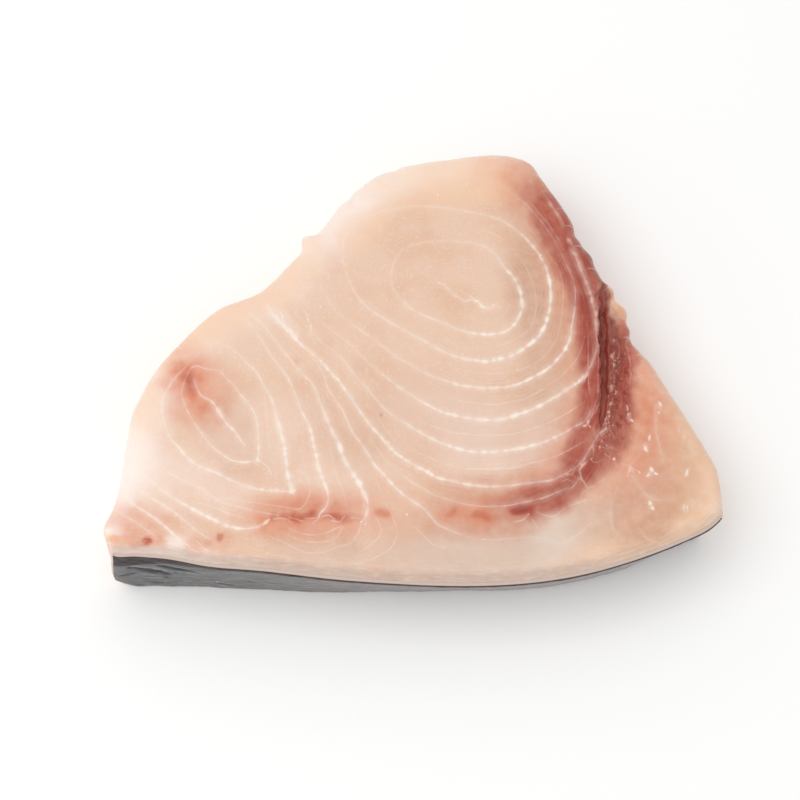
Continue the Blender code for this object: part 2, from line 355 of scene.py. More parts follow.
def makePiece(name, meshName, points, polygons, values, sharp=None):
    # the points are brought to the frame's own middle and kept inside the solid's box
    low, high = (np.array(corner) / mm for corner in cadBounds)
    placed = np.clip(points + np.array([*shift, 0.0]), low, high) * mm
    mesh = bpy.data.meshes.new(meshName)
    mesh.from_pydata(placed.tolist(), [], polygons)
    for attribute, value in values.items():
        mesh.attributes.new(attribute, "FLOAT", "POINT").data.foreach_set("value", value.astype(np.float32))
    mesh.shade_smooth()
    if sharp:
        mesh.set_sharp_from_angle(angle=math.radians(sharp))
    mesh.validate()
    piece = bpy.data.objects.new(name, mesh)
    bpy.context.scene.collection.objects.link(piece)
    print(name + ":", sum(len(p.vertices) - 2 for p in mesh.polygons), "triangles")
    return piece


# How the sheets are drawn
sheets = {
    "beadHalf": (0.45, 2.2),  # half the length of a bead of fat
    "beadGap": (0.2, 1.5),
    "beadFat": (0.4, 1),
    "plain": 1.25,  # a line is soft over more than its own width, and over more still where it is beaded
    "beaded": 1.75,
    "least": 0.34,  # least half width
    "speckled": 0.12,  # unevenness of its width, at random and over a grain
    "waisted": (0.2, 1.8),
    "broken": (0.35, 1.1),  # unevenness of its whiteness
    "faint": 0.56,  # whiteness of a plain stretch, how much less between beads, and what a bead adds
    "dimmer": 0.3,
    "bead": 0.75,
    "calm": 3.0,  # how far small wiggles are evened out, and from where a corner is kept
    "corner": (0.3, 0.6),
    "sway": (0.09, 0.06),  # how far a line strays, and how much more where it is beaded
    "strayGrain": {True: 1.7, False: 3.4},  # frayed or not
    "strayFine": (0.5, 1.1),
}


def sheet(width, white, at, beads=(0, 0), fray=None, closed=False):
    return {"width": width, "white": white, "at": at, "beads": beads, "fray": fray, "closed": closed}


# The white sheets between the muscle layers, as lines on the cut face: width, whiteness along the line, the
# places it passes, how beaded with fat it is along the line, and how frayed
septa = [
    sheet(0.6, (0.5, 0.7, 0.7, 0.8, 0.9, 0.8, 0.6), [(11.2, 36.4), (12.4, 35.9), (13.9, 34), (16.2, 32),
          (18.6, 30.4), (20.3, 31.2), (22.1, 30.3), (23.4, 28.5), (25.6, 28.2), (27, 29), (28.4, 28.5)],
          beads=(0.1, 0.1, 0.2, 0.4, 0.8, 0.2, 0.1), fray=0.15),
    sheet(0.6, (0.4, 0.5, 0.7), [(16.8, 34.2), (18.4, 33), (20.2, 32), (22.1, 30.5)],
          beads=(0, 0.1, 0.3)),
    sheet(0.6, (0.42, 0.4, 0.35, 0.35, 0.45, 0.75, 1, 1, 0.9, 0.65, 0.5, 0.45), [(-2.3, 34.8),
          (-2.5, 40.1), (-0.6, 45.4), (1.8, 47.5), (5.4, 48.9), (11.7, 49.5), (17.3, 49.3), (21.6, 48.7),
          (25.1, 47.4), (27.6, 44.9), (29.7, 41.3), (32.2, 38.4), (34.1, 34.5), (35, 30.6), (34.4, 26.7),
          (32.9, 23.6), (30.4, 21.2), (27.2, 20.2), (23.7, 20), (20.2, 20.5), (16.6, 21.7), (12.4, 23.6),
          (8.2, 25.3), (4.7, 26.9), (1.8, 29.3), (-0.6, 32)],
          beads=(0, 0, 0, 0, 0.1, 0.5, 1, 0.9, 0.7, 0.3, 0, 0), closed=True),
    sheet(0.38, (0.2, 0.3, 0.35, 0.35, 0.35, 0.3, 0.2), [(13.1, 18.6), (17.3, 16.1), (23, 16),
          (27.2, 16.5), (31.5, 18), (35, 19.9), (37.4, 22.5), (38.9, 28.5), (38.5, 34.1), (37.1, 38.7),
          (35.3, 42.6), (32.9, 46.5)]),
    sheet(0.35, (0.15, 0.35, 0.3, 0.2), [(28.5, 46.8), (33.6, 46.8), (36.4, 45.4), (38.5, 45),
          (40.5, 44.6)]),
    sheet(0.65, (0.45, 0.38, 0.32, 0.3, 0.35, 0.45, 0.8, 0.95, 1, 1, 0.85, 0.6, 0.5, 0.45),
          [(-15.1, 38.4), (-16.5, 42.6), (-16.5, 47.5), (-15.8, 51.8), (-13.7, 54.2), (-9.8, 57.1),
          (-3.8, 59.5), (3.2, 60.6), (8.9, 60.6), (14.5, 59.9), (20.2, 59), (24.4, 57.9), (28.6, 56.5),
          (32.5, 54.2), (35.7, 51.1), (38.5, 47.5), (40.6, 44), (42, 40.5), (42.9, 36.2), (42.9, 31.3),
          (42.4, 26.4), (41, 22.1), (38.9, 19), (35.7, 16.1), (32.2, 13.9), (28.6, 12.6), (24.4, 11.9),
          (20.2, 12.3), (15.9, 13.3), (11.7, 15.1), (7.5, 17.6), (3.2, 20.2), (-1, 22.7), (-4.5, 25.1),
          (-8, 27.4), (-11.2, 30.7), (-13.7, 34.5)],
          beads=(0, 0, 0, 0, 0, 0.2, 0.6, 0.8, 1, 1, 0.6, 0.3, 0.1, 0), closed=True),
    sheet(0.38, (0.2, 0.4, 0.35, 0.3, 0.35, 0.3, 0.2), [(13, 11.5), (18, 9), (24, 8), (30, 8.3), (36, 10),
          (41, 13.5), (44.5, 19), (46, 26), (46.6, 33), (46.2, 38.5), (44.5, 43), (42, 46)]),
    sheet(0.35, (0.2, 0.35, 0.3, 0.2), [(18, 7), (23, 5.3), (28, 5.2), (33, 6.3), (38.5, 9.5)]),
    sheet(0.6, (0.1, 0.2, 0.3, 0.3, 0.4, 0.6, 1, 1, 1, 0.9, 0.6, 0.5, 0.45, 0.4, 0.3, 0.15),
          [(24.4, 69.7), (28.6, 68.3), (30.7, 66.9), (33.6, 64.1), (37.1, 60.9), (40.3, 56.7),
          (42.7, 52.8), (44.9, 48.9), (47, 44), (48.7, 39.8), (50, 34.8), (49.8, 29.2), (49.1, 24.3),
          (48.4, 20), (47, 16.1), (44.5, 12.3), (41.3, 9.5), (38.2, 7.3), (35, 5.6), (31.5, 4.3),
          (27.9, 3.8), (23.7, 3.6), (20.2, 4), (16.6, 4.7), (12.4, 5.9), (7.5, 8), (3.2, 10.5),
          (-1, 13.3), (-5.2, 16.9), (-9.5, 20), (-13.7, 23.6), (-17.2, 26.7), (-19.7, 29.2),
          (-22.5, 34.8), (-23, 39)], beads=(0, 0, 0, 0, 0, 0.1, 0.7, 0.9, 1, 0.8, 0.4, 0.2, 0, 0, 0, 0)),
    sheet(0.35, (0.3, 0.4, 0.3), [(38.5, 61), (42, 56.5), (45.3, 51), (47, 47)]),
    # the white membrane between the pale muscle and what lies outside it
    sheet(0.4, (0.4, 0.8, 0.8, 0.9, 0.8, 0.9, 1), [(37.8, 69), (39.2, 67.6), (41.3, 64.6), (44.4, 60.3),
          (47, 55.4), (49, 49.3), (49.8, 46.6)], beads=(0, 0.4, 0.1, 0.4, 0.3, 0.6, 0.5)),
    sheet(0.75, (0.9, 0.9, 1, 1, 1, 0.9, 0.6, 0.6, 0.8, 0.9), [(49.8, 46.6), (50.9, 43.2), (52.2, 39.6),
          (53.6, 35.6), (54.6, 31.4), (55.4, 27.3), (55.8, 23.3), (55.7, 19), (56, 17), (55.4, 15),
          (54.7, 12.9), (54.1, 11.2), (53.1, 9.4), (52.4, 7.8)],
          beads=(0.1, 0.2, 0.4, 0.3, 0.3, 0.2, 0, 0, 0.2)),
    sheet(0.34, (0.5, 0.45, 0.4, 0.45, 0.5, 0.6, 0.8), [(56, 17), (55.9, 12), (55.6, 6.1), (55.8, 2.4),
          (55, 0), (54, -3.2), (52.3, -7.5)], beads=(0, 0, 0, 0, 0, 0.2, 0.4)),
    sheet(0.34, (0.1, 0.4, 0.7, 0.7, 0.5, 0.3), [(53.1, 24.4), (53.3, 19.6), (53.3, 15), (53.2, 12),
          (52.9, 6), (53.2, 1.8)]),
    sheet(0.62, (1, 0.9, 0.95, 1, 1, 0.9, 0.7, 0.5, 0.45, 0.4, 0.35, 0.3, 0.2), [(52.4, 7.8), (50.5, 5.6),
          (48.4, 4.2), (45.6, 2.4), (42, 0), (38.5, -2.2), (35, -3.6), (31.5, -5), (27.9, -5.9),
          (23.7, -5.9), (19.5, -5.6), (15.9, -4.7), (11.7, -3.5), (7.5, -1.5), (3.2, 1.5), (-1, 4.5),
          (-5.2, 8), (-8.8, 11.2), (-11.6, 14.4), (-15.1, 17.9), (-19.3, 21.4), (-23.6, 25.3)],
          beads=(1, 0.8, 0.6, 0.9, 1, 1, 0.8, 0.5, 0.3, 0.1, 0, 0, 0)),
    sheet(0.38, (0.3, 0.55, 0.55, 0.5, 0.4), [(13.5, 1), (17.3, -0.3), (23, -1.3), (27.2, -1.3),
          (32.9, -0.1), (37.1, 1.3), (40.6, 3.8), (44.5, 6.3), (47, 9.1), (49.8, 12.3), (51.5, 16.5),
          (52.3, 19.3)]),
    sheet(0.62, (0.6, 0.7, 0.9, 1, 1, 0.9, 0.7, 0.55, 0.5, 0.45, 0.4, 0.35, 0.3), [(53.3, -3.2),
          (51.9, -6.4), (49.8, -7.5), (47, -8.9), (43.4, -11.1), (39.6, -12.8), (36.4, -13.8),
          (32.9, -14.5), (28.6, -15.4), (23.7, -15.6), (18.8, -15.2), (14.5, -14.2), (10.3, -12.4),
          (6.1, -9.9), (1.8, -7.1), (-1.7, -5), (-5.2, -1.5), (-8, 2), (-10.5, 5.2), (-13, 8),
          (-15.1, 11.2), (-18.6, 14.7), (-21.4, 16.9), (-24.3, 20), (-30, 27)],
          beads=(0.3, 0.3, 0.6, 1, 1, 0.7, 0.4, 0.3, 0.1, 0, 0, 0, 0)),
    sheet(0.38, (0.35, 0.6, 0.55, 0.5, 0.4), [(8.9, -7.8), (14.5, -9.7), (20.2, -10.4), (25.8, -10.5),
          (31.5, -10.2), (35.7, -9), (39.9, -7.5), (44.2, -5.4), (48.4, -2.9), (51.9, -0.4)]),
    sheet(0.74, (0.5, 0.6, 0.6, 0.8, 0.85, 0.95, 1, 1, 0.9, 0.8, 0.9, 0.9, 1, 1, 0.7), [(57.3, -8.5),
          (55.4, -10), (53.8, -12.7), (52.3, -15.4), (50.8, -18.1), (48.8, -20), (46.9, -21.2),
          (44.6, -22.7), (42.3, -23.8), (37.1, -24.4), (32.9, -25.1), (27.2, -25.7), (21.6, -25.5),
          (17.3, -24.8), (13.1, -23.8), (10.3, -23.1), (6.1, -20.5), (3.2, -18.8), (-0.3, -16.6),
          (-3.1, -13.8), (-5.9, -10.3), (-9.1, -6.4), (-11.9, -2.2), (-14.4, 1.7), (-17.2, 5.9),
          (-20, 8.7), (-22.5, 12.2), (-25.4, 14.7), (-28.6, 17.6), (-31.2, 20.8), (-33.7, 23.7),
          (-36.3, 26.3), (-37.9, 28.8)],
          beads=(0.2, 0.1, 0, 0.2, 0.2, 0.4, 0.8, 1, 0.5, 0.3, 0.3, 0.7, 0.5, 0.9, 0.3)),
    sheet(0.36, (0.35, 0.55, 0.5, 0.4), [(5.4, -15.9), (14.5, -19.8), (20, -20.5), (27, -20.5),
          (31.5, -20.3), (36.4, -18.8), (42, -17.3), (47, -14.9), (51.2, -12.4)]),
    sheet(0.34, (0.3, 0.35, 0.25), [(-9.8, 3.1), (-6.6, -3.9), (-4.5, -8.2), (-1.7, -11.7)]),
    sheet(0.45, (0.25, 0.35, 0.35, 0.35, 0.35, 0.4, 0.55, 0.4, 0.3), [(-8.1, -11.5), (-4.6, -17.3),
          (-0.7, -21), (2.9, -24.1), (6.5, -26.4), (9.6, -28.4), (13.2, -29.3), (15.9, -30.4),
          (19.1, -31.2), (22.6, -31.5), (26.7, -31.5), (30.7, -31.2), (33.9, -30.3), (36.5, -29.7),
          (38.8, -29.3), (42.8, -27.7), (45.1, -26.4), (46.4, -26.6), (48.2, -25.5), (49.1, -23.7)],
          beads=(0, 0.1, 0.2, 0.2, 0.1, 0.2, 0.5, 0.3, 0)),
    sheet(0.6, (0.4, 0.45, 0.55, 0.6, 0.8, 0.65, 0.5, 0.4, 0.3, 0.25, 0.25), [(-26.3, 15.4),
          (-23.5, 11.5), (-21.5, 8.3), (-20.3, 3.8), (-17.7, -0.6), (-15.1, -5.1), (-13.2, -9.6),
          (-10.8, -12.9), (-9, -16.1), (-7, -19.4), (-5.4, -21), (-2.9, -24.1), (0.2, -27.5), (3.4, -30),
          (6.5, -32.2), (8.7, -34.7), (10.5, -36.9), (13.2, -38.3), (16.8, -39.8), (20.4, -40.6),
          (24.9, -41.1), (29.4, -40.9), (33, -40.5), (37, -40.4), (40.1, -40.9), (42.8, -42.1),
          (44.6, -42.5), (47.3, -40.7), (50, -38.5)],
          beads=(0, 0.1, 0.2, 0.3, 0.8, 0.3, 0.1, 0, 0, 0, 0)),
    # the left lobe
    sheet(0.6, (0.5, 0.7, 1, 1, 0.6), [(-57.8, 6.4), (-56.8, 2.6), (-55.5, 1), (-52.9, 0), (-51.7, -1.3),
          (-50.1, -4.2), (-48.5, -6.7), (-46.5, -9), (-44.6, -11.5), (-43, -13.5)],
          beads=(0, 0.2, 0.9, 0.8, 0.2)),
    sheet(0.48, (0.45, 0.4, 0.5, 0.8, 1, 1, 0.9, 0.7, 0.6, 0.5, 0.45), [(-59.4, 9.3), (-57.4, 10.6),
          (-54.9, 9.3), (-52.3, 9), (-50.4, 9), (-49.1, 6.7), (-46.5, 4.5), (-44.6, 1.3), (-42.7, -0.6),
          (-40.4, -4.5), (-39.8, -7.7), (-39.4, -11.5), (-39, -15.4), (-39.2, -17.9), (-40.8, -18.5),
          (-44, -18.6), (-47.2, -17.9), (-49.7, -16), (-52.3, -14.1), (-54.2, -11.5), (-56.2, -8.7),
          (-58.1, -5.8), (-59.7, -2.6), (-61, 0.6), (-61.3, 3.2), (-60.3, 6.4)],
          beads=(0, 0, 0, 0.2, 0.6, 1, 0.4, 0.2, 0, 0, 0), closed=True),
    sheet(0.5, (1, 0.5), [(-39, -18), (-36.5, -20), (-35.5, -22)], beads=(0.6, 0.2)),
    sheet(0.78, (0.1, 0.5, 0.6, 0.7, 0.9, 1, 1, 0.9, 0.8, 0.8, 0.8, 0.6, 0.6, 0.3, 0), [(-54.2, 16.7),
          (-50.1, 17.1), (-46.5, 14.7), (-44, 12.2), (-40.8, 9), (-38.8, 5.8), (-37.2, 2.6),
          (-35.6, -0.6), (-34.7, -4.5), (-33.7, -8.3), (-32.4, -12.2), (-31.9, -16), (-31.5, -19.2),
          (-31, -22.4), (-30.4, -25.3), (-29.7, -27.2), (-32.4, -26.9), (-36.3, -26.8), (-40.1, -26.2),
          (-44, -25.1), (-47.2, -23.6), (-50.4, -21.8), (-54.2, -20.2), (-56.8, -18.9), (-59.4, -16.7),
          (-61.3, -14.1), (-63.8, -11.5), (-65.4, -8.3), (-66.3, -4.5), (-66.5, -0.6), (-65.8, 2.6),
          (-64.5, 5.1)], beads=(0, 0, 0, 0.3, 0.8, 1, 1, 0.5, 0.3, 0.3, 0.4, 0.1, 0.1, 0, 0),
          closed=True),
    sheet(0.34, (0.25, 0.35, 0.25), [(-37.9, 1.9), (-37.2, -4.5), (-36.6, -10.9), (-36, -16.7)]),
    sheet(0.4, (0.25, 0.4, 0.4, 0.5, 0.4, 0.25), [(-50, -29), (-43, -30), (-36, -31), (-30.5, -31.8),
          (-27.3, -32.4), (-25.7, -30.1), (-24.7, -27.6), (-25.1, -24.4), (-26, -21.2), (-27, -17.9)]),
    sheet(0.68, (0.4, 0.5, 0.55, 0.6, 0.7, 0.9, 1, 0.9, 0.7), [(-44, 25.3), (-41.4, 21.8), (-40.1, 19.9),
          (-37.6, 15.4), (-34.4, 10.9), (-31.8, 7.1), (-30.5, 4.5), (-29.2, 1.3), (-27.9, -2.6),
          (-25.4, -7.7), (-24.4, -11.5), (-23.5, -16), (-22.5, -19.9), (-20.9, -24.4), (-19.6, -28.8),
          (-20.6, -32.1), (-22.2, -34)], beads=(0, 0, 0, 0.1, 0.3, 0.6, 0.9, 0.5, 0.3)),
    sheet(0.36, (0.25, 0.4, 0.35, 0.25), [(-19.5, -13), (-18.7, -17.8), (-17.3, -23.2), (-15.5, -27.3),
          (-14.8, -31.3)]),
    sheet(0.78, (0.5, 0.6, 0.6, 0.6, 0.7, 0.9, 1, 1, 1, 0.8), [(-42.4, 26.3), (-40.1, 24.4),
          (-36.9, 20.5), (-33.7, 16), (-30.5, 11.5), (-27.3, 7.7), (-24.7, 5.1), (-22.8, 0.6),
          (-20.9, -4.5), (-19, -9), (-17, -12.8), (-15.8, -16.7), (-13.8, -20.5), (-11.9, -23.7),
          (-10.3, -26.9), (-9, -30.1), (-8.7, -32.7), (-10, -35.3)],
          beads=(0, 0, 0, 0.1, 0.2, 0.5, 0.9, 1, 0.8, 0.5)),
    # diagonals down the lower left
    sheet(0.5, (0.5, 0.7, 0.7, 0.6, 0.5, 0.5, 0.4), [(-74.4, -14.1), (-68.3, -17.9), (-65.8, -20.2),
          (-62.6, -22.4), (-58.1, -24.7), (-54.2, -26.6), (-50.4, -29.5), (-46.5, -30.9), (-40.1, -32.7),
          (-33.7, -34)], beads=(0.2, 0.2, 0, 0, 0, 0, 0)),
    sheet(0.6, (0.5, 0.6, 0.7, 0.9, 1, 1, 1, 0.9), [(-74.6, -19.6), (-70.3, -22.6), (-65.8, -26.5),
          (-61.5, -29.5), (-58.1, -31.7), (-54.8, -33.5), (-51.8, -34.8), (-49.3, -36.3), (-46.4, -37.4),
          (-42.7, -37.9), (-39.5, -37.4)], beads=(0, 0, 0.2, 0.6, 0.8, 1, 0.8, 0.5)),
    sheet(0.5, (0.4, 0.7, 0.8, 0.7, 0.5), [(-74.6, -23.6), (-71.6, -26.3), (-67.6, -29.6), (-64.2, -31.6),
          (-61.4, -33.5), (-57.1, -37.4), (-54, -39.6), (-52.1, -40.9)], beads=(0, 0.2, 0.3, 0.1, 0)),
    sheet(0.75, (0.4, 0.7, 0.9, 1, 0.9), [(-77, -27.9), (-73.5, -30.8), (-70.1, -33), (-67.1, -35.2),
          (-63.7, -37.8), (-60.3, -41.3)], beads=(0, 0.2, 0.3, 0.5, 0.3)),
    sheet(0.5, (0.4, 0.7, 0.7, 0.6), [(-78.4, -32.4), (-75.4, -34.3), (-72, -36.1), (-69.4, -38.3),
          (-66.9, -40)], beads=(0, 0.1, 0.2, 0)),
    sheet(0.4, (0.4, 0.6, 0.4), [(-56.5, -30.2), (-52, -31.4), (-47, -33.4), (-43, -34.8)]),
    sheet(0.4, (0.5, 0.6, 0.4), [(-55.6, -41.4), (-53.4, -43.6), (-50.2, -45)]),
    sheet(0.35, (0.5, 0.6, 0.4), [(-58.4, -42.4), (-56.4, -44), (-54.6, -44.6)]),
    # shallow arcs under the red streak, and its own frayed edges
    sheet(0.4, (0.4, 0.5, 0.5, 0.4), [(-30.5, -37.8), (-27.3, -39.4), (-23.5, -39.7), (-19.6, -39.1),
          (-17, -37.5)]),
    sheet(0.36, (0.3, 0.45, 0.4, 0.3), [(-30.5, -39.7), (-26, -41.7), (-20.9, -41.7), (-17, -40.4),
          (-15.8, -37.8)]),
    sheet(0.4, (0.35, 0.45, 0.5, 0.45, 0.4), [(-36.3, -39.7), (-31.8, -41.7), (-27.3, -44.2),
          (-20.9, -44.9), (-17, -42.9), (-13.2, -42.3), (-11.3, -39.1), (-10.6, -35.9)]),
    sheet(0.36, (0.4, 0.4, 0.25), [(-6.2, -35.3), (-5.2, -39.1), (-7.1, -41.7), (-10, -44.2)]),
    sheet(0.4, (0.3, 0.35, 0.45, 0.5, 0.45, 0.3), [(-6, -25), (-4.2, -30), (-2.3, -34), (-0.7, -39.1),
          (-2, -43), (-5, -45.5), (-12, -48)]),
    sheet(0.5, (0.3, 0.4, 0.3), [(3.6, -37), (5.4, -38.9), (9.2, -42.5), (12.3, -43.4)]),
    sheet(0.7, (0.7, 0.8), [(-39.1, -37.3), (-37.2, -36.4), (-35.8, -35.2)], beads=(0.3, 0.6), fray=0.15),
    sheet(0.5, (0.9, 0.9), [(-43.4, -37.8), (-41, -37.8), (-39.1, -37.4)], fray=0.15),
    sheet(0.34, (0.4, 0.6, 0.4), [(-34.8, -35.1), (-31.3, -35.2), (-29.8, -35.8)], fray=0.1),
    sheet(0.34, (0.6, 0.8, 0.5), [(-30.2, -34.6), (-28.4, -35.1), (-26.6, -35.7)], fray=0.1),
    sheet(0.36, (0.6, 0.8, 0.6), [(-25.5, -34.8), (-23.9, -34.9), (-22.3, -34.5)], fray=0.1),
    sheet(0.45, (0.8, 0.8, 0.8, 0.5), [(-21.2, -32), (-21.9, -34), (-22.7, -35.3), (-23.9, -36.7)],
          beads=(0.4, 0.2, 0.2, 0), fray=0.15),
    sheet(0.34, (0.6, 0.7, 0.5), [(-21.4, -34.4), (-19.5, -34.2), (-18, -34.9)], fray=0.12),
    sheet(0.4, (0.6, 0.8, 0.6), [(-18.3, -35.4), (-16.6, -35.9), (-15.3, -34.8)], fray=0.12),
    sheet(0.36, (0.6, 0.5), [(-13.3, -34.8), (-12.2, -34.7), (-11, -35.1)], fray=0.1),
    sheet(0.7, (0.6, 0.7, 0.6), [(-9.8, -30.5), (-9.2, -32), (-8.6, -33.4)], beads=(0.3, 0.5, 0.3),
          fray=0.15),
    # the notch between the lobes
    sheet(0.6, (0.4, 0.8, 1, 0.5), [(-27.3, 27.6), (-25.8, 25.1), (-25.2, 22.6), (-25.4, 19.8)],
          beads=(0, 0.3, 0.4, 0)),
    sheet(0.7, (0.6, 0.8, 0.6), [(-34.1, 27.4), (-33.4, 25.8), (-33.6, 24.4)]),
    sheet(0.8, (0.8, 1, 0.8), [(-35.8, 26), (-32.9, 22.6), (-31.1, 21), (-29.4, 19.2)],
          beads=(0.6, 1, 0.6)),
    # the edge of the fat over the skin
    sheet(0.35, (0.7, 0.5, 0.4), [(35.2, -33.8), (33.9, -35.3), (31.6, -36)]),
    sheet(0.35, (0.35, 0.25), [(36.5, -35.8), (37.9, -38)]),
    sheet(0.5, (0.35, 0.45, 0.4, 0.35, 0.2), [(37.5, -33.1), (40.1, -34.2), (42.8, -34.5), (44.6, -32.2),
          (47.3, -31.1), (50, -30), (55.4, -28.8)]),
    sheet(0.5, (0.3, 0.45, 0.3), [(46.9, -41.5), (49.2, -39.3), (51.5, -36.9)]),
    # torn strands about the seam
    sheet(0.4, (0.3, 0.4, 0.5, 0.7), [(56.9, 3.1), (56.2, 1.2), (55.4, -1.5), (53.8, -4.2), (52.3, -7.3)],
          beads=(0, 0.1, 0.2, 0.5), fray=0.4),
    sheet(0.45, (0.7, 0.5), [(58.5, -8.5), (59.1, -10), (59.6, -11.5)]),
    sheet(0.5, (0.8, 1, 1, 0.6), [(51.2, -18.2), (50.2, -19.8), (50, -22), (50.4, -24), (51.2, -25.9)],
          beads=(0.4, 0.7, 0.5, 0.3), fray=0.35),
    sheet(0.34, (0.2, 0.45, 0.3), [(43.6, -23.8), (44.8, -22.2), (46.6, -21.8), (48, -22.8)], fray=0.3),
    sheet(0.34, (0.2, 0.4, 0.2), [(48.3, -24.4), (47.2, -26), (45.2, -26.2)], fray=0.3),
    sheet(0.34, (0.2, 0.4, 0.2), [(44.2, -24.4), (46, -23.6), (47.6, -24.2)]),
    sheet(0.34, (0.3, 0.5, 0.4), [(49.6, -19.2), (48.2, -20.6), (47.6, -22)], fray=0.2),
    sheet(0.34, (0.4, 0.5, 0.3), [(52.4, -17.4), (53.3, -18.1), (54.6, -18.6), (56.4, -17.9)], fray=0.2),
    sheet(0.34, (0.45, 0.45, 0.3), [(55.2, -13.8), (56.9, -14.5), (58.5, -14.3), (60.2, -14.8)],
          fray=0.2),
    sheet(0.34, (0.5, 0.7, 0.5), [(54.2, -12.2), (53.4, -15), (53.2, -17.2)], fray=0.3),
    sheet(0.34, (0.5, 0.7, 0.4), [(57, -16), (58.6, -17.4), (60, -19.8)], fray=0.3),
    sheet(0.34, (0.2, 0.4, 0.2), [(59.9, 12.5), (60.2, 9.5), (60.7, 6.2), (60.3, 3.2)], fray=0.5),
    sheet(0.34, (0.2, 0.4, 0.5, 0.3), [(60.2, 1.6), (59.4, -0.8), (58.4, -3), (57.9, -5.6), (58.8, -8)],
          beads=(0, 0.1, 0.3, 0), fray=0.5),
    sheet(0.36, (0.3, 0.5, 0.4), [(64.6, 19.5), (64.3, 15), (64.8, 10.5), (65, 6)], fray=0.3),
    sheet(0.36, (0.3, 0.5, 0.3), [(61.4, 18.5), (61.9, 14.6), (62.6, 11.8)], fray=0.3),
    sheet(0.34, (0.3, 0.45, 0.3), [(61.5, -6), (63.4, -8.6), (64.2, -11.4)], fray=0.3),
    sheet(0.36, (0.3, 0.5, 0.3), [(53.1, -13.5), (55.4, -11.6), (57.2, -11)], fray=0.5),
    sheet(0.34, (0.25, 0.4, 0.25), [(49.6, -28.6), (52.5, -25.6), (56.3, -23.4)], fray=0.4),
    sheet(0.8, (0.15, 0.3, 0.2), [(66.2, -16.2), (64.2, -19.2), (62.7, -22.7)], fray=0.3),
    sheet(0.6, (0.15, 0.3, 0.2), [(61.3, -18.7), (63.7, -20), (66, -21.6), (69, -21.4)], fray=0.3),
    sheet(1, (0.2, 0.3, 0.35, 0.2), [(71.5, -1.5), (71.2, -8.5), (72.3, -14.6), (72.7, -18.5)]),
    sheet(1, (0.2, 0.3, 0.2), [(65.4, -37.9), (67.7, -40.9), (70.5, -41.9)]),
    sheet(1, (0.1, 0.3, 0.2), [(60, -26), (58, -30.8), (58.2, -37.9), (60.5, -41)]),
    sheet(1.1, (0.2, 0.35, 0.2), [(64.1, -22.5), (66.5, -26.5), (69.1, -29.5), (74.9, -29.7)]),
    sheet(0.4, (0.35, 0.45, 0.4, 0.3), [(52, -36.5), (49.5, -38.9), (46.6, -40.9), (44.6, -41.9)]),
]
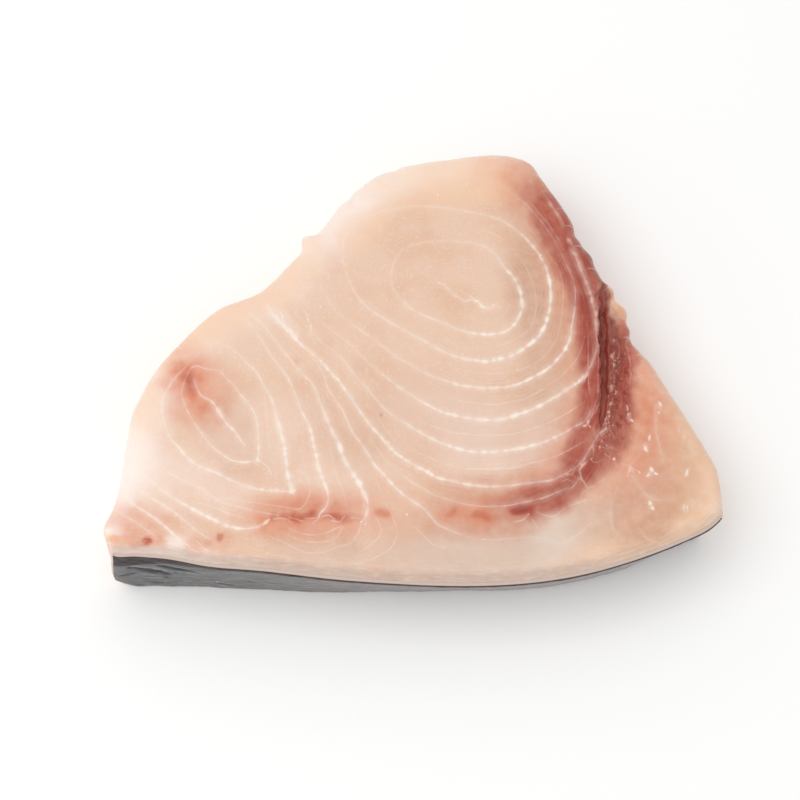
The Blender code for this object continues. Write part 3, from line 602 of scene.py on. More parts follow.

# Small white marks, some a shard of fat and some a painted glint where the wet tissue catches the light:
# place, length, width, turn in degrees, whiteness, height
whiteDabsAndGlints = [
    (47, 16.4, 1.9, 0.7, 55, 0.8, 0.1), (44.4, 12.4, 1.8, 0.6, 35, 0.8, 0.1),
    (50.4, 5.7, 1.6, 0.6, 70, 0.8, 0.1), (52.6, 7.9, 1.2, 0.8, 60, 0.8, 0.12),
    (52.5, -6.5, 1.4, 0.6, 65, 1, 0.3), (51.6, -7.7, 1.2, 0.7, 20, 0.9, 0.25),
    (53, -8, 0.8, 0.5, 120, 0.8, 0.2), (55.8, 26.4, 2.4, 0.7, 85, 0.6, 0.2),
    (54.8, 31, 2.4, 1, 82, 0.65, 0.3), (63.6, -2.4, 2.2, 0.6, 96, 0.6, 0.4),
    (64, -4.9, 3, 1.9, 75, 0.4, 0.4), (63.7, -4.4, 1.3, 0.8, 60, 0.9, 0.4),
    (64.6, -6, 1.4, 0.7, 140, 0.8, 0.3), (68.3, -14.4, 3.6, 1.6, 105, 0.35, 0.2),
    (69.4, -21.8, 3.4, 2, 60, 0.35, 0.2), (79.4, -21.6, 3.6, 1.5, 75, 0.35, 0.2),
    (69.2, -31.4, 3.8, 1.8, 110, 0.35, 0.2), (78.5, -31.8, 2.6, 2.2, 82, 0.25, 0.1),
    (72.6, -2, 3.2, 1.6, 110, 0.3, 0.2), (64, -20.6, 3.6, 1.6, 120, 0.3, 0.2),
    (78.9, -11.1, 2.6, 1.4, 80, 0.25, 0.1), (-10.6, -35.9, 0.7, 0.5, 40, 0.8, 0.05),
    (-9.4, -36.7, 0.7, 0.5, 60, 0.7, 0.05), (72.8, -1.2, 2.2, 0.8, 120, 0.75, 0.3),
    (72.3, -3.7, 1.2, 0.7, 70, 0.55, 0.25), (69.4, -11.2, 1.9, 0.8, 80, 0.75, 0.35),
    (68.2, -14.7, 2.2, 0.9, 108, 0.85, 0.35), (69.6, -20.8, 2, 1.1, 100, 0.8, 0.4),
    (70.7, -22, 1.3, 0.8, 150, 0.8, 0.3), (68.5, -22.4, 1.5, 0.6, 30, 0.7, 0.2),
    (79.3, -21.6, 2.9, 0.8, 70, 0.75, 0.3), (68.7, -30.6, 1.4, 1, 85, 0.85, 0.3),
    (69.4, -32.1, 1.7, 0.9, 120, 0.75, 0.3), (78.1, -31.7, 1.9, 0.4, 82, 0.6, 0.25),
    (79, -31.7, 1.9, 0.45, 82, 0.7, 0.25), (59.3, -17.6, 1, 0.8, 70, 0.85, 0.3),
    (77.7, -9, 2, 0.5, 80, 0.35, 0.15), (79.1, -11.4, 1.5, 0.5, 75, 0.45, 0.15),
    (66.2, -21.6, 1.5, 0.5, 130, 0.6, 0.2), (63.4, -20.9, 1.6, 0.5, 60, 0.5, 0.2),
    (60.7, 30.2, 1.9, 0.8, 110, 0.3, 0.4), (61.3, 28.2, 1.5, 0.8, 60, 0.45, 0.4),
    (62.4, 26.3, 1.4, 0.7, 120, 0.45, 0.3), (60.6, 18.2, 1.8, 0.9, 75, 0.45, 0.4),
    (59.9, 13.2, 2.2, 1.1, 100, 0.55, 0.4), (60.3, 10.4, 1.6, 0.8, 80, 0.5, 0.4),
    (59.4, 3.6, 2.2, 1, 95, 0.55, 0.4), (58.9, -1.2, 1.4, 0.9, 60, 0.5, 0.4),
    (58.3, -3.7, 1.2, 0.9, 110, 0.5, 0.35), (57.4, -5.6, 1.3, 0.8, 70, 0.5, 0.3),
    (-39.2, -18.1, 1.4, 0.7, 20, 0.7, 0.06), (-30.2, -26.9, 1.5, 0.8, 60, 0.6, 0.06),
    (-64.6, 4.4, 2.6, 0.9, 70, 0.4, 0.06), (-22.5, 28.6, 1.4, 0.6, 130, 0.5, 0.08),
    (-76.2, -28.2, 1.6, 1.4, 70, 0.8, 0.1), (-17.2, 6, 1.5, 0.7, 130, 0.6, 0.1),
    (35.2, -33.8, 1, 0.4, 60, 0.45, 0.06), (38.8, -29.3, 1.4, 0.4, 10, 0.45, 0.06),
    (1.9, -33.9, 0.9, 0.7, 90, 0.8, 0.08), (19.5, 68, 0.8, 0.6, 80, 0.6, 0.05),
    (19.5, 51, 0.8, 0.6, 80, 0.4, 0.05), (11, 64.5, 1, 0.6, 90, 0.6, 0.05),
    (40.3, 44.8, 1, 0.7, 40, 0.7, 0.06), (-76.5, -28.6, 2.4, 1, 160, 0.6, 0.1),
    (0.3, -27.4, 1.4, 0.6, 130, 0.6, 0.08), (-5.4, -21, 1.2, 0.6, 120, 0.5, 0.06),
    (26.7, 29.2, 0.9, 0.6, 20, 0.7, 0.06), (53, -17.6, 1, 0.5, 70, 0.45, 0.15),
    (-30.9, 21.3, 1.9, 0.9, 130, 0.85, 0.1), (-26.1, 24.5, 1.6, 0.5, 100, 0.6, 0.08),
    (-17.3, 6.2, 1.5, 0.6, 130, 0.8, 0.08), (-22.2, 10.8, 1.2, 0.5, 120, 0.5, 0.06),
    (7.8, -1.4, 2.2, 0.7, 150, 0.8, 0.08), (0.4, -16.9, 1.8, 0.7, 140, 0.8, 0.1),
    (5.7, -20.2, 1.6, 0.6, 150, 0.7, 0.08), (-39.4, -17.5, 0.9, 0.7, 90, 0.7, 0.06),
    (-31.2, -21.7, 1.6, 0.8, 95, 0.7, 0.06), (-3.2, -12.8, 2.4, 0.6, 130, 0.5, 0.06),
]
# how ragged each shard and painted glint is, how it fades and falls, and its rings of points: how far out and
# how many
dabLook = {"ragged": (0.28, 0.55), "fade": (0.35, 1.45), "fall": (0, 1.3), "search": 1.6,
           "rings": ((0.5, 6), (1.0, 8), (1.5, 10))}
# torn specks beside the seam, some of them painted glints of wet tissue: how many, along which line, how far
# off it they lie, and what each is like
tornSpecksAndGlints = {"count": 95, "along": [(60.6, 15), (60, 10), (59.4, 4), (58.5, -3), (57, -8), (55.5, -15)],
              "off": 1.5, "back": 0.6, "length": (0.35, 1.1), "slim": (0.3, 0.6), "turn": (45, 140),
              "white": (0.15, 0.55), "height": (0.1, 0.3), "seed": 77}


def profile(values, share):
    return np.interp(share, np.linspace(0, 1, len(values)), values)


def calmed(places, closed, reach):
    # a line without its small wiggles, its corners kept
    if len(places) < 4 * reach:
        return places
    how = {"mode": "wrap"} if closed else {"mode": "reflect", "reflect_type": "odd"}
    padded = np.pad(places, ((reach, reach), (0, 0)), **how)
    kernel = np.hanning(2 * reach + 3)[1:-1]
    even = np.column_stack([np.convolve(padded[:, k], kernel / kernel.sum(), "valid") for k in (0, 1)])
    kept = ramp(np.linalg.norm(even - places, axis=1), *sheets["corner"])[:, None]
    return even + (places - even) * kept


def lineSamples(line, seed, linePitch):
    # places down the line, the way across it, and half width and whiteness at each
    random = np.random.default_rng(seed)
    frayed = line["fray"] is not None
    curve = smoothLine(line["at"], line["closed"])
    length = np.linalg.norm(np.diff(curve, axis=0), axis=1).sum()
    count = max(4, int(length / linePitch))
    places, _ = evenly(curve, count, line["closed"])
    if not frayed:
        places = calmed(places, line["closed"], round(sheets["calm"] / linePitch))
    share = np.linspace(0, 1, count)
    white, beads = profile(line["white"], share), profile(line["beads"], share)
    fat, at = np.zeros(count), 0.0
    while at < length:
        size = random.uniform(*sheets["beadHalf"])
        bead = np.exp(-(np.abs(share * length - at - size) / size) ** 4)
        fat = np.maximum(fat, random.uniform(*sheets["beadFat"]) * bead)
        at += 2 * size + random.uniform(*sheets["beadGap"])
    fat *= beads
    half = np.maximum(line["width"] / 2 * (sheets["plain"] + sheets["beaded"] * fat), sheets["least"])
    half = half * (1 + sheets["speckled"] * random.uniform(-1, 1, count)
                   + uneven(share * length, 0.0, sheets["waisted"], seed))
    broken = 1 + uneven(share * length, 1.0, sheets["broken"], seed)
    white = sheets["faint"] * white * (1 - sheets["dimmer"] * beads) * broken + sheets["bead"] * fat
    across = np.column_stack([np.gradient(places[:, 1]), -np.gradient(places[:, 0])])
    across /= np.linalg.norm(across, axis=1)[:, None] + 1e-9
    sway = sheets["sway"][0] + sheets["sway"][1] * beads + (line["fray"] or 0)
    stray = softNoise(share * length, 0.0, sheets["strayGrain"][frayed], seed + 50)
    stray += uneven(share * length, 1.0, sheets["strayFine"], seed + 51)
    places = places + across * (sway * stray)[:, None]
    return places, across, half, np.clip(white, 0, 1)


def allLines(linePitch, least=0.0):
    return [lineSamples(line, seed, linePitch) for seed, line in enumerate(septa, 1)
            if line["width"] >= least]


def linePoints(rows):
    # the middle of every line, and points to both sides of it where it has ended
    centres, across, half, white = (np.concatenate(column) for column in zip(*rows))
    sides = np.vstack([centres + across * half[:, None], centres - across * half[:, None]])
    return centres, sides, half, white


def septumAt(seen, half, white, tree, widen=0.0):
    # how near the middle of a sheet each place is, 1 on it and 0 where it has ended, and its whiteness there
    distance, k = nearestIn(tree, seen)
    return np.maximum(0, 1 - distance / (half[k] + widen)), white[k]


def strewn():
    # the torn specks and painted glints beside the seam, drawn at random down its edge
    random = np.random.default_rng(tornSpecksAndGlints["seed"])
    path = np.array(tornSpecksAndGlints["along"], float)
    steps = random.uniform(0, 1, tornSpecksAndGlints["count"])
    row, down = profile(path[:, 0], steps), profile(path[:, 1], steps)
    off = np.abs(random.normal(0, tornSpecksAndGlints["off"], len(steps))) - tornSpecksAndGlints["back"]
    specks = []
    for x, y in zip(row + off, down):
        length, slim, *rest = (random.uniform(*tornSpecksAndGlints[name])
                               for name in ("length", "slim", "turn", "white", "height"))
        specks.append((x, y, length, length * slim, *rest))
    return specks


shardsAndGlints = whiteDabsAndGlints + strewn()


def dabsAt(seen):
    # whiteness, partly painted glints, and height of each shard at every place
    found, raised = np.zeros(len(seen)), np.zeros(len(seen))
    ragged = 1 + uneven(seen[:, 0], seen[:, 1], dabLook["ragged"], 5)
    for x, y, length, width, degrees, white, height in shardsAndGlints:
        near = np.flatnonzero(np.abs(seen[:, 0] - x) + np.abs(seen[:, 1] - y) < dabLook["search"] * length)
        dx, dy, turn = seen[near, 0] - x, seen[near, 1] - y, math.radians(degrees)
        reach = np.hypot((dx * math.cos(turn) + dy * math.sin(turn)) * 2 / length,
                         (dy * math.cos(turn) - dx * math.sin(turn)) * 2 / width) * ragged[near]
        found[near] = np.maximum(found[near], white * (1 - ramp(reach, *dabLook["fade"])))
        raised[near] = np.maximum(raised[near], height * (1 - ramp(reach, *dabLook["fall"])))
    return found, raised


def dabPoints():
    # points of the mesh that draw each shard and painted glint: its middle and the rings round it
    points = []
    for x, y, length, width, degrees, _, _ in shardsAndGlints:
        turn = math.radians(degrees)
        points.append((x, y))
        for far, count in dabLook["rings"]:
            for angle in np.linspace(0, 2 * math.pi, count, endpoint=False):
                u, v = far * length / 2 * math.cos(angle), far * width / 2 * math.sin(angle)
                points.append((x + u * math.cos(turn) - v * math.sin(turn),
                               y + u * math.sin(turn) + v * math.cos(turn)))
    return points


def washAt(seen, strokes):
    left = np.ones(len(seen))
    for soft, path in strokes:
        value = np.zeros(len(seen))
        path = np.array(path + path[-1:] if len(path) == 1 else path, float)
        for a, b in zip(path, path[1:]):
            share, off = toStretch(seen, a, b)
            half, strength = (a[k] + (b[k] - a[k]) * share for k in (2, 3))
            distance = np.linalg.norm(off, axis=1)
            value = np.maximum(value, strength * (1 - ramp(distance, half, half + soft)))
        left *= 1 - value
    return 1 - left


def besidePath(seen, path):
    # distance to the right of a path that runs towards the skin, and how far down it the nearest place is
    path = np.array(path, float)
    best, side, down, run = np.full(len(seen), 1e9), np.zeros(len(seen)), np.zeros(len(seen)), 0.0
    for a, b in zip(path, path[1:]):
        along = b - a
        share, off = toStretch(seen, a, b)
        distance = np.linalg.norm(off, axis=1)
        nearer = distance < best
        best = np.where(nearer, distance, best)
        side = np.where(nearer, np.sign(off[:, 1] * along[0] - off[:, 0] * along[1]) * distance, side)
        down = np.where(nearer, run + share * np.linalg.norm(along), down)
        run += np.linalg.norm(along)
    return side, down


# The membrane between the pale muscle and the dark one, from the crown down to the seam's lower end, and the
# run of the dark muscle, on round the arc
membrane = [(37.8, 68.3), (41.3, 65.5), (43.8, 62.3), (45.6, 58.8), (47.3, 55.3), (48.7, 51), (49.8, 47.5),
            (51.5, 42.6), (53.3, 37.7), (54.7, 32.7), (55.8, 27.8), (56, 23.6), (55.8, 19.3), (55.4, 14.4),
            (55.1, 9.5), (54.7, 3.8), (54.7, 0.3), (54, -3.2), (52.3, -7.5)]
muscleRun = membrane + [(50, -18), (46.5, -23.5), (41, -28), (31, -33), (20, -35), (4, -32)]

# The seam as it shows. A pair is how much and over what grain; the others are in half widths of the seam
seamLook = {
    "wander": (0.4, 2.4),
    "widens": (0.3, 2.4),
    "sides": (0.15, 0.9),
    "floor": (0.35, 1.6),
    "depth": 0.3,  # its flesh rests closer together than the cut in the solid
    "left": (0.65, 0.35),  # where the left side rises from, and over what it rises
    "right": (0.4, 0.6),
    "rightRun": 1.7,  # the right side rises over so much more
    "rise": 4.0,
    "past": 0.4,
}

# Relief of the upper face. A pair is how high and over what grain
relief = {
    "swell": (0.16, 11),  # broad unevenness of the cut
    "swellLow": 0.096,
    "ripple": (0.05, 3),  # knife ripples
    "septumRidge": 0.10,  # ridges over the sheets: how high, and how much of it is even or broken
    "ridgeEven": 0.6,
    "ridgeBroken": (0.4, 1.5),
    "outsideStep": 1.3,  # the flesh outside the membrane lies lower,
    "outside": (0.3, 1.8),  # from here to there to the right of it,
    "outsideFrom": ((30, 38), (0, 9)),  # down to this y, and from so far down the membrane
    # torn tissue on the flap's side of the seam, fine tearing on the other, and where across and along it
    "torn": ((0.55, 1.3), (0.33, 0.7)),
    "tornWithin": ((1.0, 2.5, 5.5, 9.5), (-32, -22, 24, 28)),
    "inner": (0.16, 0.9),
    "innerLong": 0.35,  # and how much slower it changes along the seam
    "innerWithin": ((0.5, 2.0, 3, 7), (-38, -18)),
    "lump": 0.9,
    "lumpUneven": (0.5, 1.6),
    "lumpAt": [(1.5, [(61.5, 31, 0.6, 0.7), (62.8, 28.5, 1, 1), (64, 25.5, 0.8, 0.9)])],
    "streak": (0.22, 1.1),  # the red streak lies rough and a little sunk
    "streakLow": 0.12,
    "streakAt": [(1.6, [(-36, -34, 0.4, 0.8), (-22, -34, 0.6, 1), (-10, -34.8, 0.4, 0.7)])],
    "pits": 0.4,
    "pitsAt": [(0.9, [(-59.4, 6.1, 0.2, 1)]), (0.6, [(-5.5, -4.4, 0.15, 0.6)]),
               (1.2, [(-57.5, 2, 0.3, 0.6), (-59, 8, 0.3, 0.6)])],
}


def seamAt(y):
    # where the seam's middle runs, its depth in the solid and its half width
    stations = np.array(slab["cleft"])[::-1]
    middle, depth, half = (np.interp(y, stations[:, 1], stations[:, k]) for k in (0, 2, 3))
    return middle + uneven(y, 0.0, seamLook["wander"], 43), depth, half


def seamSurface(x, y):
    # height of the seam's floor and its ragged sides, and how far right of its middle
    middle, depth, half = seamAt(y)
    half, depth = half * (1 + uneven(y, 0.0, seamLook["widens"], 44)), depth * seamLook["depth"]
    u = x - middle + uneven(x, y, seamLook["sides"], 45)
    floor = slab["thickness"] - depth + uneven(x, y, seamLook["floor"], 46)
    (leftFrom, leftOver), (rightFrom, rightOver) = seamLook["left"], seamLook["right"]
    left = (-leftFrom * half - u) / (leftOver * half)
    right = (u - rightFrom * half) / (rightOver * half + seamLook["rightRun"])
    height = floor + np.maximum(np.maximum(left, right), 0) * (depth + seamLook["rise"])
    ends = (y > slab["cleft"][0][1] + seamLook["past"]) | (y < slab["cleft"][-1][1])
    return height + 1e3 * ends, u  # far above the face past the seam's ends


def reliefAt(plan, seen, septum, raised):
    x, y = plan.T
    height = uneven(x, y, relief["swell"], 11) - relief["swellLow"] + uneven(x, y, relief["ripple"], 12)
    height += relief["septumRidge"] * septum * (relief["ridgeEven"] + uneven(x, y, relief["ridgeBroken"], 13))
    height += raised
    outside, down = besidePath(seen, membrane)
    upper = ramp(seen[:, 1], *relief["outsideFrom"][0]) * ramp(down, *relief["outsideFrom"][1])
    height -= relief["outsideStep"] * ramp(outside, *relief["outside"]) * upper
    _, u = seamSurface(x, y)
    torn = between(u, *relief["tornWithin"][0]) * between(y, *relief["tornWithin"][1])
    height += torn * sum(uneven(x, y, look, seed) for seed, look in enumerate(relief["torn"], 14))
    inner = between(-u, *relief["innerWithin"][0]) * ramp(y, *relief["innerWithin"][1])
    height += inner * uneven(x, y * relief["innerLong"], relief["inner"], 16)
    lump = washAt(seen, relief["lumpAt"])
    height += relief["lump"] * lump * (1 + uneven(x, y, relief["lumpUneven"], 17))
    streak = washAt(seen, relief["streakAt"])
    height += streak * (uneven(x, y, relief["streak"], 18) - relief["streakLow"])
    return height - relief["pits"] * washAt(seen, relief["pitsAt"])


# Soft washes of colour over the cut face. A stroke is how softly it ends, and then the places it passes,
# each with the stroke's half width there and its strength
washes = {
    "blood": [
        (4.5, [(35, 70, 1.2, 0.1), (39, 66, 1.8, 0.4), (42.4, 60.3, 2.6, 0.75), (45, 54, 3, 0.85),
               (47.5, 47, 2.8, 0.85), (50.3, 40, 2.6, 0.9), (52.3, 33, 2.4, 0.95), (53.5, 26, 2.2, 0.95),
               (54.2, 18, 1.8, 0.95), (54.6, 10, 1.7, 0.95), (54.8, 2, 2.2, 0.95), (54, -5, 2.5, 0.9),
               (52.7, -12, 2.5, 0.8), (50, -18, 2.4, 0.7)]),
        (5.5, [(50.4, -18.5, 2.2, 0.7), (47.5, -24.3, 1.8, 0.72), (42.4, -28.4, 2.4, 0.82),
               (37, -30, 2.1, 0.8), (32, -31.4, 1, 0.5), (26, -32.8, 0.5, 0.2)]),
        (4, [(61, 26, 0.6, 0.25), (62, 20, 1.6, 0.8), (62, 12, 2.2, 0.95), (61.8, 4, 2.2, 0.95),
             (61.4, -4, 2, 0.85), (60, -11, 2.2, 0.7), (57, -16, 2.6, 0.6), (52.5, -21, 2.6, 0.55)]),
        (2.4, [(-59.6, 7.2, 0.4, 0.25), (-59.3, 4.5, 0.4, 0.2)]),
        (1.2, [(-28.5, -34.2, 0.3, 0.2), (-24.5, -34.1, 0.4, 0.3)]),
        (1.2, [(-18, -34.2, 0.4, 0.25), (-15.5, -34.5, 0.3, 0.2)]), (0.9, [(-68.9, -41.3, 0.5, 0.25)]),
        (1.1, [(31.4, -32.3, 1, 0.85), (35.4, -31.9, 0.9, 0.8)])],
    # the deepest red of the dark muscle; along the seam it is also painted shade, as the seam lies shallower
    # than the cut
    "deep": [
        (1.6, [(59.5, 33, 0.4, 0.3), (58, 27, 1, 0.9), (58, 20, 1.3, 1), (57.8, 10, 1.3, 1),
               (57.4, 2, 1.2, 0.9), (56.8, -5, 1, 0.6), (56, -10, 0.6, 0.35)]),
        (1.8, [(48, 49, 0.3, 0.2), (52.4, 36, 0.6, 0.35), (53.6, 26, 0.6, 0.4), (53.8, 15, 0.6, 0.4)]),
        (2.5, [(58, -6, 1.2, 0.45), (59, -12, 1, 0.35), (50, -22, 0.8, 0.35), (43, -27, 0.6, 0.3)]),
        (1, [(31.6, -32.3, 0.5, 0.55), (34.6, -32.1, 0.4, 0.5)]), (0.8, [(-59.4, 6.1, 0.2, 0.2)]),
        (3, [(62.2, 12, 0.6, 0.3), (62.2, 4, 0.8, 0.35), (61.6, -5, 0.8, 0.25)]),
        (1.2, [(59.6, 24, 0.5, 0.5), (60.7, 16.5, 1.2, 0.95), (60.2, 11, 0.9, 0.8), (59.6, 4, 0.7, 0.7),
               (59, -3, 0.5, 0.5)]),
        (2, [(60.6, 21, 0.5, 0.25), (61.4, 16.8, 1.5, 0.9), (60.8, 9, 1.1, 0.55)]),
        (1.4, [(58.8, 36, 0.3, 0.4), (58, 33.2, 0.6, 0.9), (58, 28, 1.2, 0.95)]),
        (0.8, [(-5.5, -4.4, 0.2, 0.3)])],
    "rust": [
        (3, [(-61, 9, 0.4, 0.3), (-59.6, 6.8, 0.5, 0.6), (-59.2, 4, 0.5, 0.4)]),
        (1.2, [(-55.4, -3.2, 0.3, 0.1)]),
        (4.2, [(-36, -34, 0.4, 0.12), (-30, -32.6, 1, 0.2), (-23, -32, 1.2, 0.25), (-15, -32.8, 1, 0.2)]),
        (1.5, [(-35, -35, 0.3, 0.3), (-30.6, -34.6, 0.5, 0.55), (-24, -34, 0.6, 0.5),
               (-20.5, -34.2, 0.3, 0.35), (-17.8, -34.2, 0.6, 0.5), (-14.6, -34.6, 0.4, 0.25),
               (-10.8, -34.9, 0.3, 0.3)]),
        (1.3, [(-68.9, -41.4, 0.9, 0.85)]), (1.2, [(-72.9, -43, 0.5, 0.25), (-70.5, -43.1, 0.5, 0.25)]),
        (1, [(-49, -40.9, 0.6, 0.62)]), (1.2, [(-52.8, -42.2, 0.5, 0.25)]),
        (1.3, [(-5.2, -33.4, 0.6, 0.3), (-4, -33.6, 0.5, 0.3)]),
        (1.3, [(13.4, -33.7, 0.4, 0.35), (14.5, -33.6, 0.3, 0.35)]),
        (1.4, [(20.4, -34, 0.5, 0.45), (23.2, -34.2, 0.4, 0.4)]),
        (1.6, [(30.8, -32.2, 1, 0.9), (36, -31.8, 1, 0.9)]), (1, [(-29.3, 10.8, 0.2, 0.12)]),
        (1.6, [(63.8, 23.5, 0.5, 0.3), (65.2, 19, 0.6, 0.4)])],
    "pink": [
        (10, [(27, 73, 1, 0.2), (35, 70, 3, 0.45), (41, 62, 2, 0.45), (46, 52, 2, 0.4), (49, 40, 2, 0.4),
              (51, 25, 2, 0.35), (51, 10, 2, 0.3)]),
        (8, [(52, -3, 3, 0.4), (48, -15, 3, 0.4), (42, -25, 3, 0.4), (32, -31.5, 3, 0.24),
             (20, -33.6, 2.3, 0.22), (12, -33, 1.5, 0.1)]),
        (7, [(-61, 13, 1, 0.35), (-59.4, 9, 1.4, 0.7), (-59, 4, 1.4, 0.65), (-60, -2, 1.4, 0.35)]),
        (4.5, [(-58, 1, 1, 0.35), (-54.5, -1, 1.2, 0.36), (-51.5, -4, 1, 0.2)]),
        (4, [(-65, 5, 0.8, 0.35), (-62, 9, 1, 0.4)]),
        (6, [(-43, -34.5, 1, 0.15), (-36, -33.5, 2, 0.4), (-27, -31.6, 2.4, 0.55),
             (-20, -31.8, 2.6, 0.55), (-13, -33, 2, 0.3), (-8, -34.5, 1, 0.18)]),
        (4.5, [(-37, -37, 1, 0.4), (-31, -37.6, 1.4, 0.4), (-22, -38.2, 1.6, 0.35),
               (-15, -37.2, 1.4, 0.25)]),
        (6, [(8, -36, 1.5, 0.1), (20, -35.5, 2.4, 0.18), (30, -36.5, 2, 0.16)]),
        (5, [(10, -27, 2, 0.1), (22, -27.5, 2.6, 0.15), (34, -27, 2.4, 0.2)]),
        (7, [(-55, 8, 2, 0.35), (-51, 4, 2, 0.3), (-55, -4, 2, 0.25)]),
        (5, [(-77, -34, 1, 0.3), (-73, -36, 2.2, 0.45), (-66, -37.4, 1.8, 0.25)]),
        (2, [(-78, -41.6, 0.6, 0.35), (-72, -41.4, 0.8, 0.45), (-66, -41.4, 1, 0.45)]),
        (3, [(-56, -42.6, 1, 0.28), (-48, -42, 1.6, 0.28)]), (2.6, [(-4.5, -33.5, 0.8, 0.4)]),
        (9, [(-3, -32, 4, 0.18)]), (3, [(12.5, -33.7, 1, 0.32), (23, -34.2, 1.4, 0.36)]),
        (8, [(65, 14, 1, 0.55), (66.5, 4, 2, 0.55), (66, -8, 3, 0.45), (63, -17, 3, 0.4),
             (57, -23, 3, 0.3)]),
        (9, [(71, -4, 2, 0.3), (70, -20, 3, 0.3), (66, -34, 2, 0.12)]),
        (2.6, [(-29.8, 11.4, 0.4, 0.12)]),
        (3, [(61, 31.5, 0.6, 0.15), (63.2, 27.5, 1, 0.12), (64.2, 23.5, 1, 0.4)])],
    "cream": [
        (9, [(-2, 65, 3, 0.3), (12, 69, 4, 0.45), (26, 70, 4, 0.5)]),
        (6, [(-13, 50, 2, 0.3), (-8, 54, 2, 0.35)]),
        (6.5, [(-66, 12, 1, 0.4), (-57, 22, 2, 0.5), (-47, 27, 2, 0.45), (-37, 33, 2, 0.45),
               (-29, 41, 2, 0.4), (-26, 46, 1.5, 0.3)]),
        (5, [(-70, 3, 1, 0.35), (-72, -6, 1.5, 0.3)]),
        (0.9, [(-80, -41.2, 0.4, 0.9), (-73.6, -41.6, 0.4, 0.7)]),
        (9, [(73, 2, 2, 0.35), (80, -13, 3, 0.6), (82.5, -24, 3, 0.65), (79, -33, 3, 0.5),
             (70, -38, 3, 0.35), (58, -42, 3, 0.25)]),
        (2.6, [(60.4, 32.6, 0.5, 0.7), (62.5, 28.5, 1.3, 0.9), (64, 24.5, 1, 0.8)]),
        (1.2, [(49, 57.5, 0.6, 0.55), (49.3, 54.5, 0.4, 0.4)])],
    # paler flesh; its strokes along the upper rim and the left edge are painted light, where those rounded
    # rims catch the light
    "pale": [
        (6, [(-27, 48, 2, 0.35), (-19, 59, 3, 0.4), (-9, 67, 3, 0.4), (4, 72.5, 2, 0.45),
             (18, 75, 1.5, 0.4)]),
        (3, [(-4, 72, 0.5, 0.5), (2, 75, 0.8, 0.7), (15, 77.5, 1.2, 0.85), (27, 78.5, 1.2, 0.8),
             (34, 76.5, 0.8, 0.5)]),
        (11, [(8, -6, 5, 0.25), (24, -13, 6, 0.4), (38, -12, 5, 0.32)]),
        (11, [(-45, -8, 4, 0.22), (-30, -12, 5, 0.2), (-20, -20, 4, 0.2)]),
        (4.5, [(-74.5, -10, 1, 0.5), (-76.5, -20, 1.5, 0.7), (-77.5, -29, 1.5, 0.75)]),
        (8, [(-70, -19, 3, 0.4), (-60, -25, 4, 0.4), (-48, -29, 3, 0.3)]),
        (2.4, [(-35.4, 26.6, 0.6, 0.35), (-32.4, 23.4, 0.8, 0.4), (-29.6, 20.6, 0.5, 0.3)]),
        (2.4, [(-62.6, -42.2, 1.2, 0.95), (-60, -44.4, 1.8, 0.9), (-55, -45.6, 1.2, 0.7)]),
        (1.6, [(-79.4, -38.6, 0.9, 0.9), (-75.6, -38.9, 0.6, 0.6)]),
        (1.6, [(-79, -44, 1, 0.6), (-70, -44, 1, 0.65), (-62, -44.8, 1, 0.7), (-52, -46.2, 0.9, 0.55),
               (-40, -48.2, 0.8, 0.4)]),
        (1.6, [(62.6, 28.6, 0.6, 0.35), (63.4, 26.8, 0.8, 0.55), (64.2, 24.6, 0.5, 0.3)])],
    "fat": [
        (6, [(-2, -46, 2.4, 0.35), (10, -46, 4, 0.6), (24, -45, 5, 0.75), (36, -42.5, 5, 0.75),
             (46, -39, 3, 0.6), (56, -36, 2, 0.3)]),
        (4, [(-30, -46, 1.5, 0.25), (-12, -47, 2, 0.4)])],
    "tan": [
        (9, [(37, 62, 2, 0.25), (40, 50, 3, 0.45), (39, 40, 4, 0.6), (40, 30, 4, 0.55),
             (43.5, 18, 4, 0.45), (41, 6, 4, 0.35), (43, -5, 4, 0.3), (38, -14, 4, 0.2)]),
        (9, [(54, -35, 3, 0.3), (64, -34, 5, 0.48), (74, -28, 3, 0.45), (76, -16, 2, 0.35),
             (71, 0, 2, 0.25)]),
        (6, [(84, -12, 2, 0.12), (85.5, -26, 2, 0.18)]), (3, [(68, -39, 2, 0.25), (73, -35, 2, 0.25)]),
        (2.6, [(-20.9, 17.2, 0.6, 0.12)]), (3, [(-11.5, 10.8, 1, 0.1)]),
        (8, [(-50, -6, 4, 0.28), (-44, -16, 4, 0.15)]),
        (9, [(-2, -44, 3, 0.2), (12, -43, 4, 0.2), (30, -42, 4, 0.2)]),
        (9, [(-12, -14, 3, 0.2), (-22, 0, 3, 0.12)]), (12, [(0, -2, 5, 0.14), (20, -8, 6, 0.14)]),
        (7, [(-30, -42, 2, 0.25), (-16, -42, 2, 0.25)]),
        (6, [(8, -35, 2, 0.22), (21, -34, 3, 0.42), (34, -34, 3, 0.4)]),
        (5, [(12, -27, 2, 0.2), (24, -27.5, 2.6, 0.35), (36, -25, 2.4, 0.35)])],
    "umber": [
        (1.4, [(44, 65, 0.4, 0.4), (48.5, 58, 0.8, 0.55), (50.6, 52, 1, 0.6), (53, 46.5, 1.3, 0.75),
               (55.5, 41, 1.5, 0.8), (57.6, 36.5, 1.3, 0.8), (58.3, 33.4, 0.6, 0.6),
               (58.3, 30, 0.5, 0.55)])],
}

